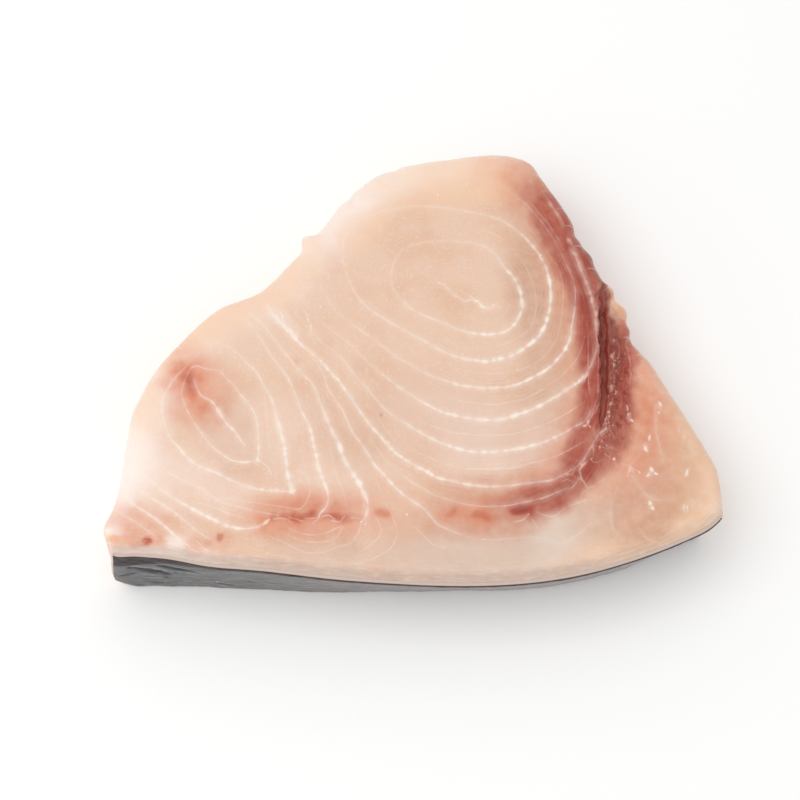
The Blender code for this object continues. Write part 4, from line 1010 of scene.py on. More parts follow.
# How the colours lie on the flesh
laying = {
    "strays": ((0.7, 4), (0.42, 1.6)),  # how far the washes wander, each over its grain
    "edgeFat": (1.4, 3.6),  # the pale line under the skin fades between these, and is fainter at the left end
    "edgeFatStrength": (0.75, 0.75),
    "edgeFatLeft": (-70, -40),
    # growth rings lie beside the sheets longer than the first, up to so far from them, where there is
    # little other colour and left of the dark muscle
    "ringsBeside": 12,
    "ringsTo": 6.0,
    "ringsClear": (0.05, 0.5),
    "ringsRight": (46, 52),
    "fatTo": 20.0,  # how far from the skin its distance is still told
    "onSheet": ("fat", "border", "pink", "rust", "blood", "umber"),
    "sunk": (0.8, 2.2),  # how far below the face the seam's inside counts as sunk, and from the edge
    "sunkFromEdge": (0.5, 2),
    # the seam's sunk inside is painted at least this dark: the dark muscle's red and painted shade
    "sunkDark": {"deep": 0.6, "blood": 0.9},
    "wallCream": 0.55,
}
layerNames = [*washes, "border", "septum", "sheetWhite", "fromSheet", "dabsAndGlints", "paintedEdgeLight", "besideMuscle",
              "downMuscle", "plain", "skinReach", "side", "run"]
mainSheets = treeOf(np.vstack([row[0] for row in allLines(1.0, fleshMesh["wideSheet"])
                               if len(row[0]) > laying["ringsBeside"]]))


def layersAt(seen, septum, dabsAndGlints, pale, skinReach):
    # how much of each colour lies at every point
    x, y = seen.T
    stray = np.column_stack([sum(uneven(x, y, look, seed + k) for k, look in enumerate(laying["strays"]))
                             for seed in (21, 23)])
    layers = {name: washAt(seen + stray, strokes) for name, strokes in washes.items()}
    most, least = laying["edgeFatStrength"]
    border = most * (1 - ramp(skinReach, *laying["edgeFat"]))
    layers["border"] = border * (least + (1 - least) * ramp(x, *laying["edgeFatLeft"]))
    layers["septum"], layers["sheetWhite"] = septum
    layers["fromSheet"] = np.minimum(laying["ringsTo"], nearestIn(mainSheets, seen)[0])
    # pale is painted light, shining through the thin edges
    layers["dabsAndGlints"], layers["paintedEdgeLight"] = dabsAndGlints, pale
    layers["besideMuscle"], layers["downMuscle"] = besidePath(seen, muscleRun)
    coloured = np.max([layers[name] for name in laying["onSheet"]], axis=0)
    layers["plain"] = (1 - ramp(coloured, *laying["ringsClear"])) * (1 - ramp(x, *laying["ringsRight"]))
    layers["skinReach"] = np.minimum(skinReach, laying["fatTo"])
    layers["side"] = layers["run"] = np.zeros(len(seen))
    return layers


print("Section ready:", samples, "samples round", round(around, 1), "mm")


def hexGrid(low, high, spacing):
    # rows of points in even triangles
    rows = int((high[1] - low[1]) / (spacing * 0.866)) + 1
    columns = int((high[0] - low[0]) / spacing) + 1
    x, y = np.meshgrid(np.arange(columns) * spacing, np.arange(rows) * spacing * 0.866)
    x = x + (np.arange(rows) % 2)[:, None] * spacing / 2
    return np.column_stack([x.ravel() + low[0], y.ravel() + low[1]])


def thinOut(points, least):
    # drops points that fall in the same small cell as an earlier one
    cells = np.floor(points / least).astype(int)
    _, first = np.unique(cells, axis=0, return_index=True)
    return points[np.sort(first)]


def fillFace(ring, fixed, grids):
    # triangles over the ring, through the fixed points and the grid points that keep clear of them
    inside, edge = inward(ring, 1.0, pitch), treeOf(ring)

    def wellInside(points, least):
        distance, near = nearestIn(edge, points)
        reach = np.einsum("ij,ij->i", points - ring[near], inside[near])
        return points[(reach > 0) & (distance > least)]

    points = thinOut(wellInside(fixed, fleshMesh["fixedFromEdge"]), fleshMesh["fixedApart"])
    tree = treeOf(points)
    random = np.random.default_rng(8)
    for grid, spacing in grids:
        shaken = grid + random.uniform(-fleshMesh["jitter"], fleshMesh["jitter"], grid.shape) * spacing
        grid = wellInside(shaken, spacing * fleshMesh["gridFromEdge"])
        apart, _ = nearestIn(tree, grid)
        points = np.vstack([points, grid[apart > spacing * fleshMesh["gridFromFixed"]]])
    corners = [Vector(p) for p in np.vstack([points, ring])]
    border = [list(range(len(points), len(corners)))]
    places, _, faces, origins, _, _ = delaunay_2d_cdt(corners, [], border, 1, 1e-4)
    places = np.array([p[:] for p in places])
    faces = np.array([f[:] for f in faces])
    a, b, c = (places[faces[:, k]] for k in range(3))
    turned = (b[:, 0] - a[:, 0]) * (c[:, 1] - a[:, 1]) - (b[:, 1] - a[:, 1]) * (c[:, 0] - a[:, 0]) < 0
    faces[turned] = faces[turned][:, ::-1]
    ringIndex = np.full(len(places), -1)
    for i, origin in enumerate(origins):
        for k in origin:
            if k >= len(points):
                ringIndex[i] = k - len(points)
    return places, faces, ringIndex


def fleshRings():
    # the rings of points from the sole's edge up the wall and over the rim
    recess = underSkin * (slab["skinThickness"] - fleshMesh["skinOverlap"])
    ownRim = rim * (1 - underSkin) + fleshMesh["rimUnderSkin"] * underSkin

    def roughened(ring, row):
        # unevenness of the cut wall, always inwards, so that it keeps to the slab's own size
        rough = sum(uneven(index * pitch, row * change, look, seed)
                    for seed, (look, change) in enumerate(fleshMesh["wobbles"], 31))
        ring[:, :2] += inwardRim * (fleshMesh["edgeWobble"] * (1 - underSkin) * (1 + rough))[:, None]
        return ring

    def quarter(rows, step):
        turn = math.radians(90 * step / rows)
        return 1 - math.sin(turn), 1 - math.cos(turn)

    low, top = wall(0.0, recess), wall(1.0, recess)
    rings = []
    for step in range(fleshMesh["footRows"]):
        ring, (back, up) = low.copy(), quarter(fleshMesh["footRows"], step)
        ring[:, :2] += inwardFoot * slab["footRound"] * back
        ring[:, 2] = slab["footRound"] * up
        rings.append(ring)
    rings.append(low)
    for step in range(1, fleshMesh["wallRows"] + 1):
        rings.append(roughened(wall(step / fleshMesh["wallRows"], recess), step))
    for step in range(1, fleshMesh["rimRows"] + 1):
        ring, (under, back) = top.copy(), quarter(fleshMesh["rimRows"], step)
        ring[:, :2] += inwardRim * (ownRim * back)[:, None]
        ring[:, 2] += rim - ownRim * under
        rings.append(roughened(ring, fleshMesh["wallRows"] + step * 0.5))
    for ring in rings:
        ring[:, 2] = np.minimum(ring[:, 2], seamSurface(ring[:, 0], ring[:, 1])[0])
    return [worn(ring) for ring in rings]


def edgeLooks(plan, ring):
    # distance to the ring, its nearest sample, the painted light of the pale edge there, and distance to the
    # skin
    distance, near = nearestIn(treeOf(ring), plan)
    skinReach, _ = nearestIn(treeOf(ring[skinFrom:skinTo + 1]), plan)
    return distance, near, paintedLightAlongEdge[near] * np.exp(-(distance / fleshMesh["paintedLightReach"]) ** 2), skinReach


def upperFace(rings):
    # points, triangles, places in the last ring and colours of the face, and the lines over the rim
    cap = rings[-1][:, :2]
    centres, sides, half, white = linePoints(allLines(fleshMesh["linePitch"]))
    lineTree = treeOf(centres)
    down = np.arange(*fleshMesh["cleftRows"])
    middle, _, seamHalf = seamAt(down)
    seamPoints = [np.column_stack([middle + seamHalf * side, down]) for side in fleshMesh["cleftSides"]]
    fixed = np.vstack([onSlab(centres), onSlab(sides), onSlab(dabPoints())] + seamPoints)
    coarse = hexGrid(cap.min(axis=0), cap.max(axis=0), fleshMesh["topSpacing"])
    low, high = fleshMesh["cleftBox"]
    boxed = ((coarse > low) & (coarse < high)).all(axis=1)
    grids = [(hexGrid(low, high, fleshMesh["cleftSpacing"]), fleshMesh["cleftSpacing"]),
             (coarse[~boxed], fleshMesh["topSpacing"])]
    plan, faces, ringIndex = fillFace(cap, fixed, grids)

    face = faceHeight(*plan.T)
    seen = seenAt(plan, face)
    septum = septumAt(seen, half, white, lineTree)
    dabsAndGlints, raised = dabsAt(seen)
    distance, near, pale, skinReach = edgeLooks(plan, cap)
    relieved = reliefAt(plan, seen, septum[0] * septum[1], raised)
    height = face + relieved * ramp(distance, 0, fleshMesh["edgeBlend"])
    mismatch = rings[-1][:, 2] - faceHeight(*cap.T)
    height += mismatch[near] * np.exp(-distance / fleshMesh["edgeBlend"])
    height = np.minimum(height, seamSurface(*plan.T)[0])

    layers = layersAt(seen, septum, dabsAndGlints, pale, skinReach)
    sunk = ramp(face - height, *laying["sunk"]) * ramp(distance, *laying["sunkFromEdge"])
    for name in ("sheetWhite", "umber", "fat", "tan"):
        layers[name] = layers[name] * (1 - sunk)
    # the seam's sunk inside is painted darker: the dark muscle's red and painted shade
    for name, least in laying["sunkDark"].items():
        layers[name] = np.maximum(layers[name], least * sunk)
    rimLines = [septumAt(seenAt(ring[:, :2], ring[:, 2]), half, white, lineTree, 0.2)
                for ring in rings[-fleshMesh["rimRows"]:]]  # a little wider, so that they run over the edge
    print("Upper face:", len(plan), "points,", len(faces), "triangles, highest", round(height.max(), 2), "mm")
    return np.column_stack([plan, height]), faces, ringIndex, layers, rimLines


def soleFace(ring):
    # the same cut drawn more coarsely, almost flat
    middle = np.array(slab["viewMiddle"])
    centres, sides, half, white = linePoints(allLines(fleshMesh["solePitch"], fleshMesh["wideSheet"]))
    grid = hexGrid(ring.min(axis=0), ring.max(axis=0), fleshMesh["soleSpacing"])
    plan, faces, ringIndex = fillFace(ring, np.vstack([centres, sides]) + middle,
                                      [(grid, fleshMesh["soleSpacing"])])
    distance, _, pale, skinReach = edgeLooks(plan, ring)
    lift = fleshMesh["soleLift"][0] + uneven(*plan.T, fleshMesh["soleLift"], 42)
    lift *= ramp(distance, *fleshMesh["soleLiftFrom"])
    septum = septumAt(plan - middle, half, white, treeOf(centres))
    layers = layersAt(plan - middle, septum, np.zeros(len(plan)), pale, skinReach)
    print("Sole:", len(plan), "points,", len(faces), "triangles")
    return np.column_stack([plan, lift]), faces, ringIndex, layers


def wallLayers(rings, rimLines):
    # the wall's colours follow the face above it, and the sole's lower down
    shoulderSeen = seenAt(shoulder, shoulderHeight)
    start = (skinFrom + skinTo) // 2
    layers = []
    for k, ring in enumerate(rings):
        plan, height = ring[:, :2], ring[:, 2]
        onRim = ramp(height - shoulderHeight + rim, *fleshMesh["rimFrom"])
        upper = ramp(height, *fleshMesh["faceColours"])[:, None]
        wallSeen = (plan - np.array(slab["viewMiddle"])) * (1 - upper) + shoulderSeen * upper
        seen = seenAt(plan, height) * onRim[:, None] + wallSeen * (1 - onRim[:, None])
        fromTop = len(rings) - k
        lines = rimLines[-fromTop] if fromTop <= len(rimLines) else np.zeros((2, samples))
        skinReach, _ = nearestIn(treeOf(ring[skinFrom:skinTo + 1]), ring)
        here = layersAt(seen, lines, dabsAt(seen)[0] * onRim, paintedLightAlongEdge, skinReach)
        here["umber"] = here["umber"] * onRim
        here["deep"] = here["deep"] * np.maximum(onRim, here["blood"])
        here["cream"] = here["cream"] * (laying["wallCream"] + (1 - laying["wallCream"]) * onRim)
        here["side"] = np.full(samples, 1 - ramp(k, len(rings) - fleshMesh["rimRows"], len(rings) - 1))
        here["run"] = ((index - start) % samples) * pitch
        layers.append(here)
    return layers


def buildFlesh():
    # one closed mesh: sole, wall, rounded rim and cut face
    rings = fleshRings()
    top, topFaces, topRing, topLayers, rimLines = upperFace(rings)
    sole, soleFaces, soleRing, soleLayers = soleFace(rings[0][:, :2])
    walls = wallLayers(rings, rimLines)
    topInner, soleInner = topRing < 0, soleRing < 0
    lastRing, topStart = (len(rings) - 1) * samples, len(rings) * samples
    soleStart = topStart + topInner.sum()
    topNumber = np.where(topInner, topStart + np.cumsum(topInner) - 1, lastRing + topRing)
    soleNumber = np.where(soleInner, soleStart + np.cumsum(soleInner) - 1, soleRing)
    rows = np.arange(len(rings) - 1)[:, None] * samples
    lower, ahead = (rows + index).ravel(), (rows + (index + 1) % samples).ravel()
    quads = np.column_stack([lower, lower + samples, ahead + samples, ahead])
    polygons = quads.tolist() + topNumber[topFaces].tolist() + soleNumber[soleFaces[:, ::-1]].tolist()
    values = {name: np.concatenate([here[name] for here in walls] + [topLayers[name][topInner],
                                                                     soleLayers[name][soleInner]])
              for name in layerNames}
    points = np.vstack(rings + [top[topInner], sole[soleInner]])
    return makePiece("swordfishFlesh", "flesh", points, polygons, values)


fleshLook = {
    # noises: grain in millimetres and detail
    "noises": {"mottle": (15, 3), "bundles": (0.9, 2), "drift": (3.2, 3), "bend": (22, 2), "patches": (5, 2)},
    "muscleGrain": (0.4, 7.0),  # streaks of the dark muscle: across and along, in millimetres
    "fatStreaks": (0.7, 4.0),  # in the fat along the skin: away from it and along it, in millimetres
    "fatFades": (2.5, 8.0),
    "stripes": (1.05, 1.2),  # growth rings: millimetres apart, bend
    "wallSheets": (7.2, 16.0, 450.0),  # the sheets down the wall: millimetres apart, bend, slant
    # every weight follows a source from one span to another: name, source, span, span it becomes
    "weights": [
        ("warm", "mottle", 0.42, 0.7, 0, 0.9), ("light", "bundles", 0.52, 0.8, 0, 0.55),
        ("dark", "streaks", 0.5, 0.72, 0, 0.4), ("bright", "streaks", 0.5, 0.28, 0, 0.35),
        ("ring", "stripes", 0.22, 0.02, 0, 1), ("ringBreak", "drift", 0.48, 0.7, 0, 0.26),
        ("fatLight", "fatGrain", 0.5, 0.7, 0, 0.22), ("fatDark", "fatGrain", 0.46, 0.3, 0, 0.18),
        ("fade", "patches", 0.62, 0.38, 0.5, 1.1), ("halo", "fromSheet", 0.2, 1.9, 0.36, 0),
        ("onBlood", "blood", 0.2, 1, 1, 0.62), ("wetOnBlood", "blood", 0.3, 1, 1, 0.72),
        ("film", "blood", 0.25, 1, 0, 0.65), ("septum", "septum", 0.02, 0.8, 0, 1),
        ("dabsAndGlints", "dabsAndGlints", 0, 1, 0, 1), ("wallLine", "toLine", 0.12, 0.45, 1, 0),
        ("wallBreak", "drift", 0.35, 0.65, 0.1, 0.6), ("rough", "bundles", 0.3, 0.7, 0.36, 0.48)],
    # weights that hold only where another is: the first becomes their product
    "products": [
        ("dark", "blood"), ("bright", "blood"), ("ring", "ringBreak"), ("ring", "plain"),
        ("wallLine", "wallBreak"), ("wallLine", "side"), ("septum", "fade"), ("septum", "onBlood"),
        ("septum", "sheetWhite"), ("halo", "sheetWhite"), ("dabsAndGlints", "wetOnBlood"),
        ("fatLight", "fatty"), ("fatDark", "fatty")],
    # what is painted over the flesh, in order: weight, colour, how far the strength of a wash wanders
    "flesh": "#e5c4ad",
    "paints": [
        ("warm", "#e0b99e", 0), ("light", "#efd3bf", 0),  # warm patches, light fibre ends
        ("fat", "#dccbbd", 0.2), ("pale", "#f2dfd4", 0.15), ("border", "#c1ab9e", 0.2),
        # the pale edge is painted light, shining through the thin rims
        ("paintedEdgeLight", "#fbeee6", 0.1), ("cream", "#f2c8a2", 0.15), ("tan", "#c08e73", 0.3),
        ("pink", "#d9805d", 0.22), ("umber", "#84493a", 0.3), ("rust", "#bc5433", 0.2),
        ("blood", "#a74634", 0.12), ("deep", "#8f3c2e", 0.12),
        ("dark", "#94402f", 0), ("bright", "#cc846c", 0),  # streaks of the dark muscle
        ("ring", "#f5dcca", 0),  # faint growth rings between the sheets
        ("fatDark", "#c3a48f", 0), ("fatLight", "#f0e4d8", 0),
        # the last paint here is the white shards of fat and the painted glints of the wet flesh
        ("halo", "#f4e6da", 0), ("wallLine", "#f4e6da", 0), ("septum", "#f4e6da", 0), ("dabsAndGlints", "#f4e6da", 0),
        ("film", "#e08b70", 0)],  # over the lines on the dark muscle
    # wet all over, a little duller where the fibres end
    "shader": {"IOR": 1.4, "Subsurface Weight": 0.3, "Subsurface Radius": (1.0, 0.42, 0.25),
               "Subsurface Scale": 2.0 * mm, "Coat Weight": 0.25, "Coat Roughness": 0.22, "Coat IOR": 1.34},
    # fibre ends under a millimetre apart, and knife ripples 3 mm apart: noise, strength, depth
    "bumps": [("bundles", 0.35, 0.12), ("drift", 0.45, 0.5)],
}


def fleshMaterial():
    # Raw swordfish, cut across the grain with a knife: wet, a little translucent, so its shadows are soft
    # and warm, and the sheets between the muscle layers stand out white
    material, tree, shader = startMaterial("rawSwordfishFlesh")
    place = addNode(tree, "TexCoord").outputs["Object"]
    parts = addNode(tree, "SeparateXYZ", {}, {"Vector": place})
    value = {name: addNode(tree, "Attribute", {"attribute_name": name}).outputs["Fac"] for name in layerNames}
    for name, (grain, detail) in fleshLook["noises"].items():
        value[name] = addNode(tree, "TexNoise", {"Scale": perMetre(grain), "Detail": detail},
                              {"Vector": place}).outputs["Fac"]

    # streaks that run down the dark muscle, and those of the fat along the skin
    (wide, long), (apart, length) = fleshLook["muscleGrain"], fleshLook["fatStreaks"]
    for name, across, along, detail in [
            ("streaks", (value["besideMuscle"], 1 / wide), (value["downMuscle"], 1 / long), 3.0),
            ("fatGrain", (value["skinReach"], 1 / apart), (parts.outputs["X"], perMetre(length)), 2.0)]:
        u, v = (addNode(tree, "Math", {"operation": "MULTIPLY", 1: scale}, {0: source}).outputs[0]
                for source, scale in (across, along))
        grainPlace = addNode(tree, "CombineXYZ", {}, {"X": u, "Y": v}).outputs[0]
        value[name] = addNode(tree, "TexNoise", {"Scale": 1.0, "Detail": detail},
                              {"Vector": grainPlace}).outputs["Fac"]
    low, high = fleshLook["fatFades"]
    value["fatty"] = addNode(tree, "MapRange", {"From Min": low, "From Max": high, "To Min": 1.0,
                                                "To Max": 0.0}, {"Value": value["skinReach"]}).outputs[0]
    # growth rings that follow the sheets, and the sheets as they show down the wall, as slanting lines
    slant = addNode(tree, "Math", {"operation": "MULTIPLY_ADD", 1: fleshLook["wallSheets"][2]},
                    {0: parts.outputs["Z"], 2: value["run"]}).outputs[0]
    for name, look, source, base in (("stripes", "stripes", "patches", value["fromSheet"]),
                                     ("toLine", "wallSheets", "bend", slant)):
        apart, bend = fleshLook[look][:2]
        bent = addNode(tree, "Math", {"operation": "MULTIPLY_ADD", 1: bend},
                       {0: value[source], 2: base}).outputs[0]
        value[name] = addNode(tree, "Math", {"operation": "PINGPONG", 1: apart / 2}, {0: bent}).outputs[0]

    for name, source, low, high, least, most in fleshLook["weights"]:
        value[name] = addNode(tree, "MapRange", {
            "interpolation_type": "SMOOTHSTEP", "From Min": low, "From Max": high, "To Min": least,
            "To Max": most}, {"Value": value[source]}).outputs[0]
    for name, _, wander in fleshLook["paints"]:
        if wander:
            change = addNode(tree, "MapRange", {"From Min": 0.3, "From Max": 0.7, "To Min": 1 - wander,
                                                "To Max": 1 + wander}, {"Value": value["drift"]}).outputs[0]
            value[name] = addNode(tree, "Math", {"operation": "MULTIPLY", "use_clamp": True},
                                  {0: value[name], 1: change}).outputs[0]
    for first, second in fleshLook["products"]:
        value[first] = addNode(tree, "Math", {"operation": "MULTIPLY"},
                               {0: value[first], 1: value[second]}).outputs[0]
    # the lines on the dark muscle lie under a film of its juice
    lines = addNode(tree, "Math", {"operation": "ADD", "use_clamp": True},
                    {0: value["septum"], 1: value["dabsAndGlints"]}).outputs[0]
    value["film"] = addNode(tree, "Math", {"operation": "MULTIPLY"}, {0: value["film"], 1: lines}).outputs[0]

    tone = addNode(tree, "RGB").outputs[0]
    tone.default_value = linearColour(fleshLook["flesh"])
    finishMaterial(tree, shader, fleshLook, value, tone)
    return material


flesh = buildFlesh()
flesh.data.materials.append(fleshMaterial())
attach(flesh, "root")
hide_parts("flesh")

# The skin: a strip round the front wall, its outer side wet and wrinkled, its upper edge cut across.
# Places on it are distances from its left end and heights
skin = {
    "columns": 430,
    "outerRows": 30,
    "edgeRows": 5,
    "innerRows": 8,
    "wallSteps": 40,  # the slab's wall is read at so many heights
    "rim": 0.8,
    "lowest": 0.15,
    "edgeRound": 0.18,
    "edgeSlope": 0.054,  # how much lower the upper edge is at its outer side
    "edgeIn": 0.1,
    "edgeUneven": (0.05, 2.0),
    "band": [(0, 7.5), (5, 6.5), (9.9, 5.2), (13.8, 3.4), (19.9, 3.4), (23.8, 2.4), (35, 1.8), (80, 1.7),
             (140, 1.2), (175, 1.0)],  # how far down from the upper edge the dark brown reaches
    # the outer side lies in by this much, and by these waves more: depth, grain, how much flatter than long
    "inwards": 0.12,
    "waves": (((0.07, 3.0), 2.5), ((0.04, 1.0), 3)),
    "ragged": (0.45, 1.3),
    "foot": (0.35, 0.4),
    # creases, painted near black as painted shade, and the wet folds beside them, painted light grey as
    # painted highlights: how deep, and the places they pass with their half width there
    "creases": [
        (0.4, [(4.2, 16, 1.0), (6.4, 15.4, 1.6), (8.6, 14.2, 2.0), (10.6, 13.6, 2.4), (12.2, 13.6, 1.4),
               (13.8, 12.2, 2.0)]),
        (0.45, [(11.2, 18.6, 0.8), (14, 18, 2.4), (17, 17.2, 2.6), (19.5, 16.9, 1.7), (22.2, 16.3, 0.7)]),
        (0.3, [(7, 15.8, 0.5), (10, 15.4, 0.8), (12.5, 14.6, 1.0)]),
        (0.2, [(16, 14.2, 0.5), (19, 14.6, 0.6)]),
        (0.25, [(1.6, 9.4, 0.6), (3.4, 10.4, 1.0), (5.6, 11.4, 0.7)]),
        (0.2, [(12.8, 9.4, 0.6), (13.8, 9.2, 0.9)]),
        (0.2, [(27.6, 6.4, 0.7), (29.6, 5.3, 0.8), (32, 5.2, 0.5)]),
        (0.15, [(8.5, 7.4, 0.5), (10.5, 7, 0.7)]), (0.15, [(9.5, 4.4, 0.5), (12, 4.2, 0.7)]),
        (0.12, [(36, 11, 0.5), (40, 10.4, 0.6)])],
    "folds": [
        (-0.12, [(5, 17.4, 0.7), (8.6, 16.8, 1.1), (12, 16.2, 1.4), (14, 15.6, 1.0)]),
        (-0.1, [(15, 15, 0.6), (18.6, 15.2, 0.9), (22, 15, 0.6)]),
        (-0.1, [(7.4, 11.4, 0.7), (10.4, 10.8, 0.9)]),
        (-0.1, [(8.4, 8.6, 0.6), (10.6, 8.3, 0.7), (12.4, 8.4, 0.5)]),
        (-0.08, [(16, 19.4, 0.6), (21, 18.4, 0.7)])],
    "drop": (27.7, 8.6, 0.21, 0.35),  # a bead of water painted white, a painted highlight, whole in the first radius and gone past the second
}


def skinRow(share, height, inwards):
    # one row of the strip, its columns spread evenly from the right end to the left one
    plan = wall(share)[:, :2]
    stops = np.linspace(skinFrom, skinTo, skin["columns"])
    x, y, leanX, leanY = (np.interp(stops, index, values) for values in (*plan.T, *mitred(plan).T))
    return np.column_stack([x + leanX * inwards, y + leanY * inwards, height])


def pathStrength(along, up, path, ragged):
    value = np.zeros(len(along))
    path, places = np.array(path, float), np.column_stack([along, up])
    for a, b in zip(path, path[1:]):
        share, off = toStretch(places, a, b)
        half = a[2] + (b[2] - a[2]) * share
        value = np.maximum(value, 1 - ramp(np.linalg.norm(off, axis=1), 0, half * ragged))
    return value


def buildSkin():
    columns, thick, turned = skin["columns"], slab["skinThickness"], skin["edgeRound"]
    lowest = slab["footRound"]
    stops = np.linspace(skinFrom, skinTo, columns)
    along = (skinTo - stops) * pitch
    topHeight = np.interp(stops, index, shoulderHeight)
    rows = []  # points, through (0 outside, 1 inside), crease (painted shade), fold (painted highlight), drop (painted highlight of a bead of water)

    def addRow(height, inwards, through, creaseShade=0.0, foldHighlight=0.0, drop=0.0):
        share = np.clip((height - lowest) / (topHeight - skin["rim"] - lowest), 0, 1)
        step = 1 / skin["wallSteps"]
        low = math.floor(share.mean() * skin["wallSteps"]) / skin["wallSteps"]
        a, b = skinRow(low, height, inwards), skinRow(min(low + step, 1.0), height, inwards)
        mixed = np.clip((share - low) / step, -0.5, 1.5)[:, None]
        points = a * (1 - mixed) + b * mixed
        points[:, 2] = height
        rows.append([worn(points)] + [value + 0 * along for value in (through, creaseShade, foldHighlight, drop)])

    for step in range(skin["outerRows"] + 1):
        height = skin["lowest"] + (topHeight - turned - skin["lowest"]) * step / skin["outerRows"]
        up = height * slab["thickness"] / topHeight
        creaseShade, foldHighlight = np.zeros(columns), np.zeros(columns)
        depth = skin["inwards"] + sum(uneven(along, up * flatter, look, seed)
                                      for seed, (look, flatter) in enumerate(skin["waves"], 61))
        ragged = 1 + uneven(along, up * 2, skin["ragged"], 63)
        for deep, path in skin["creases"] + skin["folds"]:
            strength = pathStrength(along, up, path, ragged)
            creaseShade, foldHighlight = np.maximum(creaseShade, strength * (deep > 0)), np.maximum(foldHighlight, strength * (deep < 0))
            depth = depth + deep * strength
        # the bead of water is a painted white highlight
        dropAlong, dropUp, whole, gone = skin["drop"]
        drop = 1 - ramp(np.hypot(along - dropAlong, up - dropUp), whole, gone)
        footIn, footHeight = skin["foot"]
        depth = np.maximum(depth + footIn * np.exp(-(height / footHeight) ** 2), 0)
        addRow(height, depth, 0.0, creaseShade, foldHighlight, drop)
    for step in range(1, skin["edgeRows"] + 1):
        across = step / skin["edgeRows"]
        rough = uneven(along, step, skin["edgeUneven"], 64) - skin["edgeUneven"][0]
        height = topHeight - skin["edgeSlope"] * (1 - across) + rough
        addRow(height, skin["edgeIn"] + (thick - skin["edgeIn"]) * across, across)
    for step in range(1, skin["innerRows"] + 1):
        addRow(topHeight * (1 - step / skin["innerRows"]), thick, 1.0)
    points = np.vstack([row[0] for row in rows])
    number = np.arange(len(points)).reshape(-1, columns)
    after = np.roll(number, -1, axis=0)
    quads = np.column_stack([corner.ravel() for corner in (number[:, :-1], number[:, 1:], after[:, 1:],
                                                           after[:, :-1])])
    caps = [number[::-1, 0].tolist(), number[:, -1].tolist()]
    values = {name: np.concatenate([row[k] for row in rows])
              for k, name in enumerate(("through", "creaseShade", "foldHighlight", "drop"), 1)}
    values |= {"down": np.tile(topHeight, len(rows)) - points[:, 2], "height": points[:, 2],
               "along": np.tile(along, len(rows)),
               "band": np.tile(np.interp(along, *zip(*skin["band"])), len(rows))}
    return makePiece("swordfishSkin", "skin", points, quads.tolist() + caps, values, sharp=50)


skinLook = {
    "grey": ("#6a6868", "#9d9392"),  # towards the left end, towards the right end
    "streaks": (4.5, 1.3),  # length and height of the lengthways streaks
    "bandWaves": 1.6,
    "grain": 0.4,
    "smudges": 3.0,
    # every weight follows a source from one span to another: name, source, span, span it becomes
    "weights": [
        ("right", "along", 15, 120, 0, 1), ("shade", "streaks", 0.5, 0.7, 0, 0.4),
        ("sheen", "streaks", 0.46, 0.3, 0, 0.28), ("speck", "grain", 0.52, 0.72, 0, 0.26),
        ("bandEdge", "below", 1.5, 0.5, 0, 0.7), ("band", "below", 1.0, 0.4, 0, 1),
        ("creaseShade", "creaseShade", 0.1, 0.9, 0, 0.85), ("foldHighlight", "foldHighlight", 0.0, 1.0, 0, 0.55),
        ("edge", "through", 0.0, 0.08, 0, 0.8), ("smudge", "smudges", 0.5, 0.75, 0, 0.3),
        ("dermis", "through", 0.14, 0.34, 0, 1), ("foot", "height", 0.8, 0.3, 0, 0.7),
        ("rough", "streaks", 0.3, 0.7, 0.28, 0.42)],
    "paints": [
        ("shade", "#565657"), ("sheen", "#a8a9aa"), ("speck", "#a8a9aa"), ("smudge", "#565657"),
        ("bandEdge", "#5a4a45"), ("band", "#251612"), ("foot", "#665c59"), ("foldHighlight", "#9fa5aa"),
        # the crease paint is painted shade, the fold and drop paints painted highlights
        ("creaseShade", "#1b1a1c"), ("edge", "#54443e"), ("dermis", "#c9b5aa"), ("drop", "#ffffff")],
    "shader": {"IOR": 1.42, "Specular IOR Level": 0.18, "Coat Weight": 0.05, "Coat Roughness": 0.15,
               "Coat IOR": 1.34},
    "bumps": [("streaks", 0.6, 0.25), ("grain", 0.3, 0.06)],  # lengthways wrinkles, finer grain
}


def skinMaterial():
    # Wet swordfish skin: grey with lengthways streaks, painted almost black in its creases as painted shade
    # and lighter on its wet folds as painted highlights, dark brown along the cut
    material, tree, shader = startMaterial("wetSwordfishSkin")
    place = addNode(tree, "TexCoord").outputs["Object"]
    value = {name: addNode(tree, "Attribute", {"attribute_name": name}).outputs["Fac"]
             for name in ("through", "creaseShade", "foldHighlight", "drop", "down", "height", "along", "band")}
    long, high = (perMetre(size) for size in skinLook["streaks"])
    stretched = addNode(tree, "Mapping", {"Scale": (long, long, high)}, {"Vector": place}).outputs[0]
    value["streaks"] = addNode(tree, "TexNoise", {"Scale": 1.0, "Detail": 4.0, "Roughness": 0.6},
                               {"Vector": stretched}).outputs["Fac"]
    for name, detail in (("grain", 2.0), ("smudges", 3.0)):
        value[name] = addNode(tree, "TexNoise", {"Scale": perMetre(skinLook[name]), "Detail": detail},
                              {"Vector": place}).outputs["Fac"]
    wavy = addNode(tree, "Math", {"operation": "MULTIPLY_ADD", 1: skinLook["bandWaves"]},
                   {0: value["streaks"], 2: value["down"]}).outputs[0]
    value["below"] = addNode(tree, "Math", {"operation": "SUBTRACT"}, {0: wavy, 1: value["band"]}).outputs[0]
    for name, source, low, high, least, most in skinLook["weights"]:
        value[name] = addNode(tree, "MapRange", {
            "interpolation_type": "SMOOTHSTEP", "From Min": low, "From Max": high, "To Min": least,
            "To Max": most}, {"Value": value[source]}).outputs[0]
    left, right = (linearColour(colour) for colour in skinLook["grey"])
    tone = addNode(tree, "Mix", {"data_type": "RGBA", 6: left, 7: right}, {0: value["right"]}).outputs[2]
    finishMaterial(tree, shader, skinLook, value, tone)
    return material


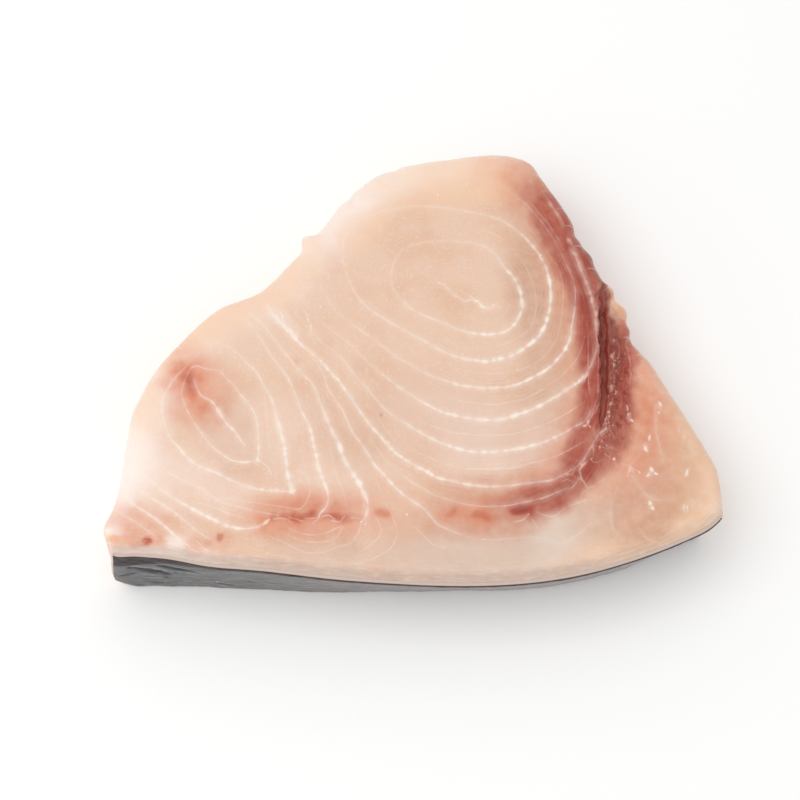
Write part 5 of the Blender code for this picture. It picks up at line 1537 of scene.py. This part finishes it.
skinPiece = buildSkin()
skinPiece.data.materials.append(skinMaterial())
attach(skinPiece, "root")
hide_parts("skin")

# The floor, a sheet of matt white paper that spreads the light evenly, a hair below the steak
paper = {"reach": 1.5, "below": 0.05, "colour": "#fbfbfa", "roughness": 0.9}
corners = [(-1, -1), (1, -1), (1, 1), (-1, 1)]
floorMesh = bpy.data.meshes.new("floor")
floorMesh.from_pydata([(x * paper["reach"], y * paper["reach"], 0) for x, y in corners], [], [(0, 1, 2, 3)])
floor = bpy.data.objects.new("floor", floorMesh)
floor.location.z = -paper["below"] * mm
bpy.context.scene.collection.objects.link(floor)
white, _, whiteShader = startMaterial("mattWhitePaper")
whiteShader.inputs["Base Color"].default_value = linearColour(paper["colour"])
whiteShader.inputs["Roughness"].default_value = paper["roughness"]
floorMesh.materials.append(white)

studio = {"world": 0.8, "key": 4.6, "keySize": 1.0, "keyPlace": (-0.5, -0.1, 1.0)}
world = bpy.data.worlds.new("studio")
bpy.context.scene.world = world
world.use_nodes = True
world.node_tree.nodes["Background"].inputs["Color"].default_value = (1, 1, 1, 1)
world.node_tree.nodes["Background"].inputs["Strength"].default_value = studio["world"]
key = bpy.data.lights.new("softbox", "AREA")
key.energy, key.size = studio["key"], studio["keySize"]
keyObject = bpy.data.objects.new("softbox", key)
keyObject.location = studio["keyPlace"]
keyObject.rotation_euler = (-Vector(studio["keyPlace"])).to_track_quat("-Z", "Y").to_euler()
bpy.context.scene.collection.objects.link(keyObject)

camera = bpy.data.cameras.new("camera")
camera.lens, camera.sensor_width = picture["lens"], picture["sensor"]
camera.clip_start, camera.clip_end = picture["clip"]
view = bpy.data.objects.new("camera", camera)
aimX, aimY = np.array(slab["viewMiddle"]) + shift
view.location = (aimX * mm, (aimY - cameraBack) * mm, (picture["height"] + cameraUp) * mm)
view.rotation_euler = (math.radians(90 - picture["elevation"]), 0, 0)
bpy.context.scene.collection.objects.link(view)
bpy.context.scene.camera = view
bpy.context.scene.view_settings.view_transform = "Standard"
print("View aims at", round(aimX, 3), round(aimY, 3))
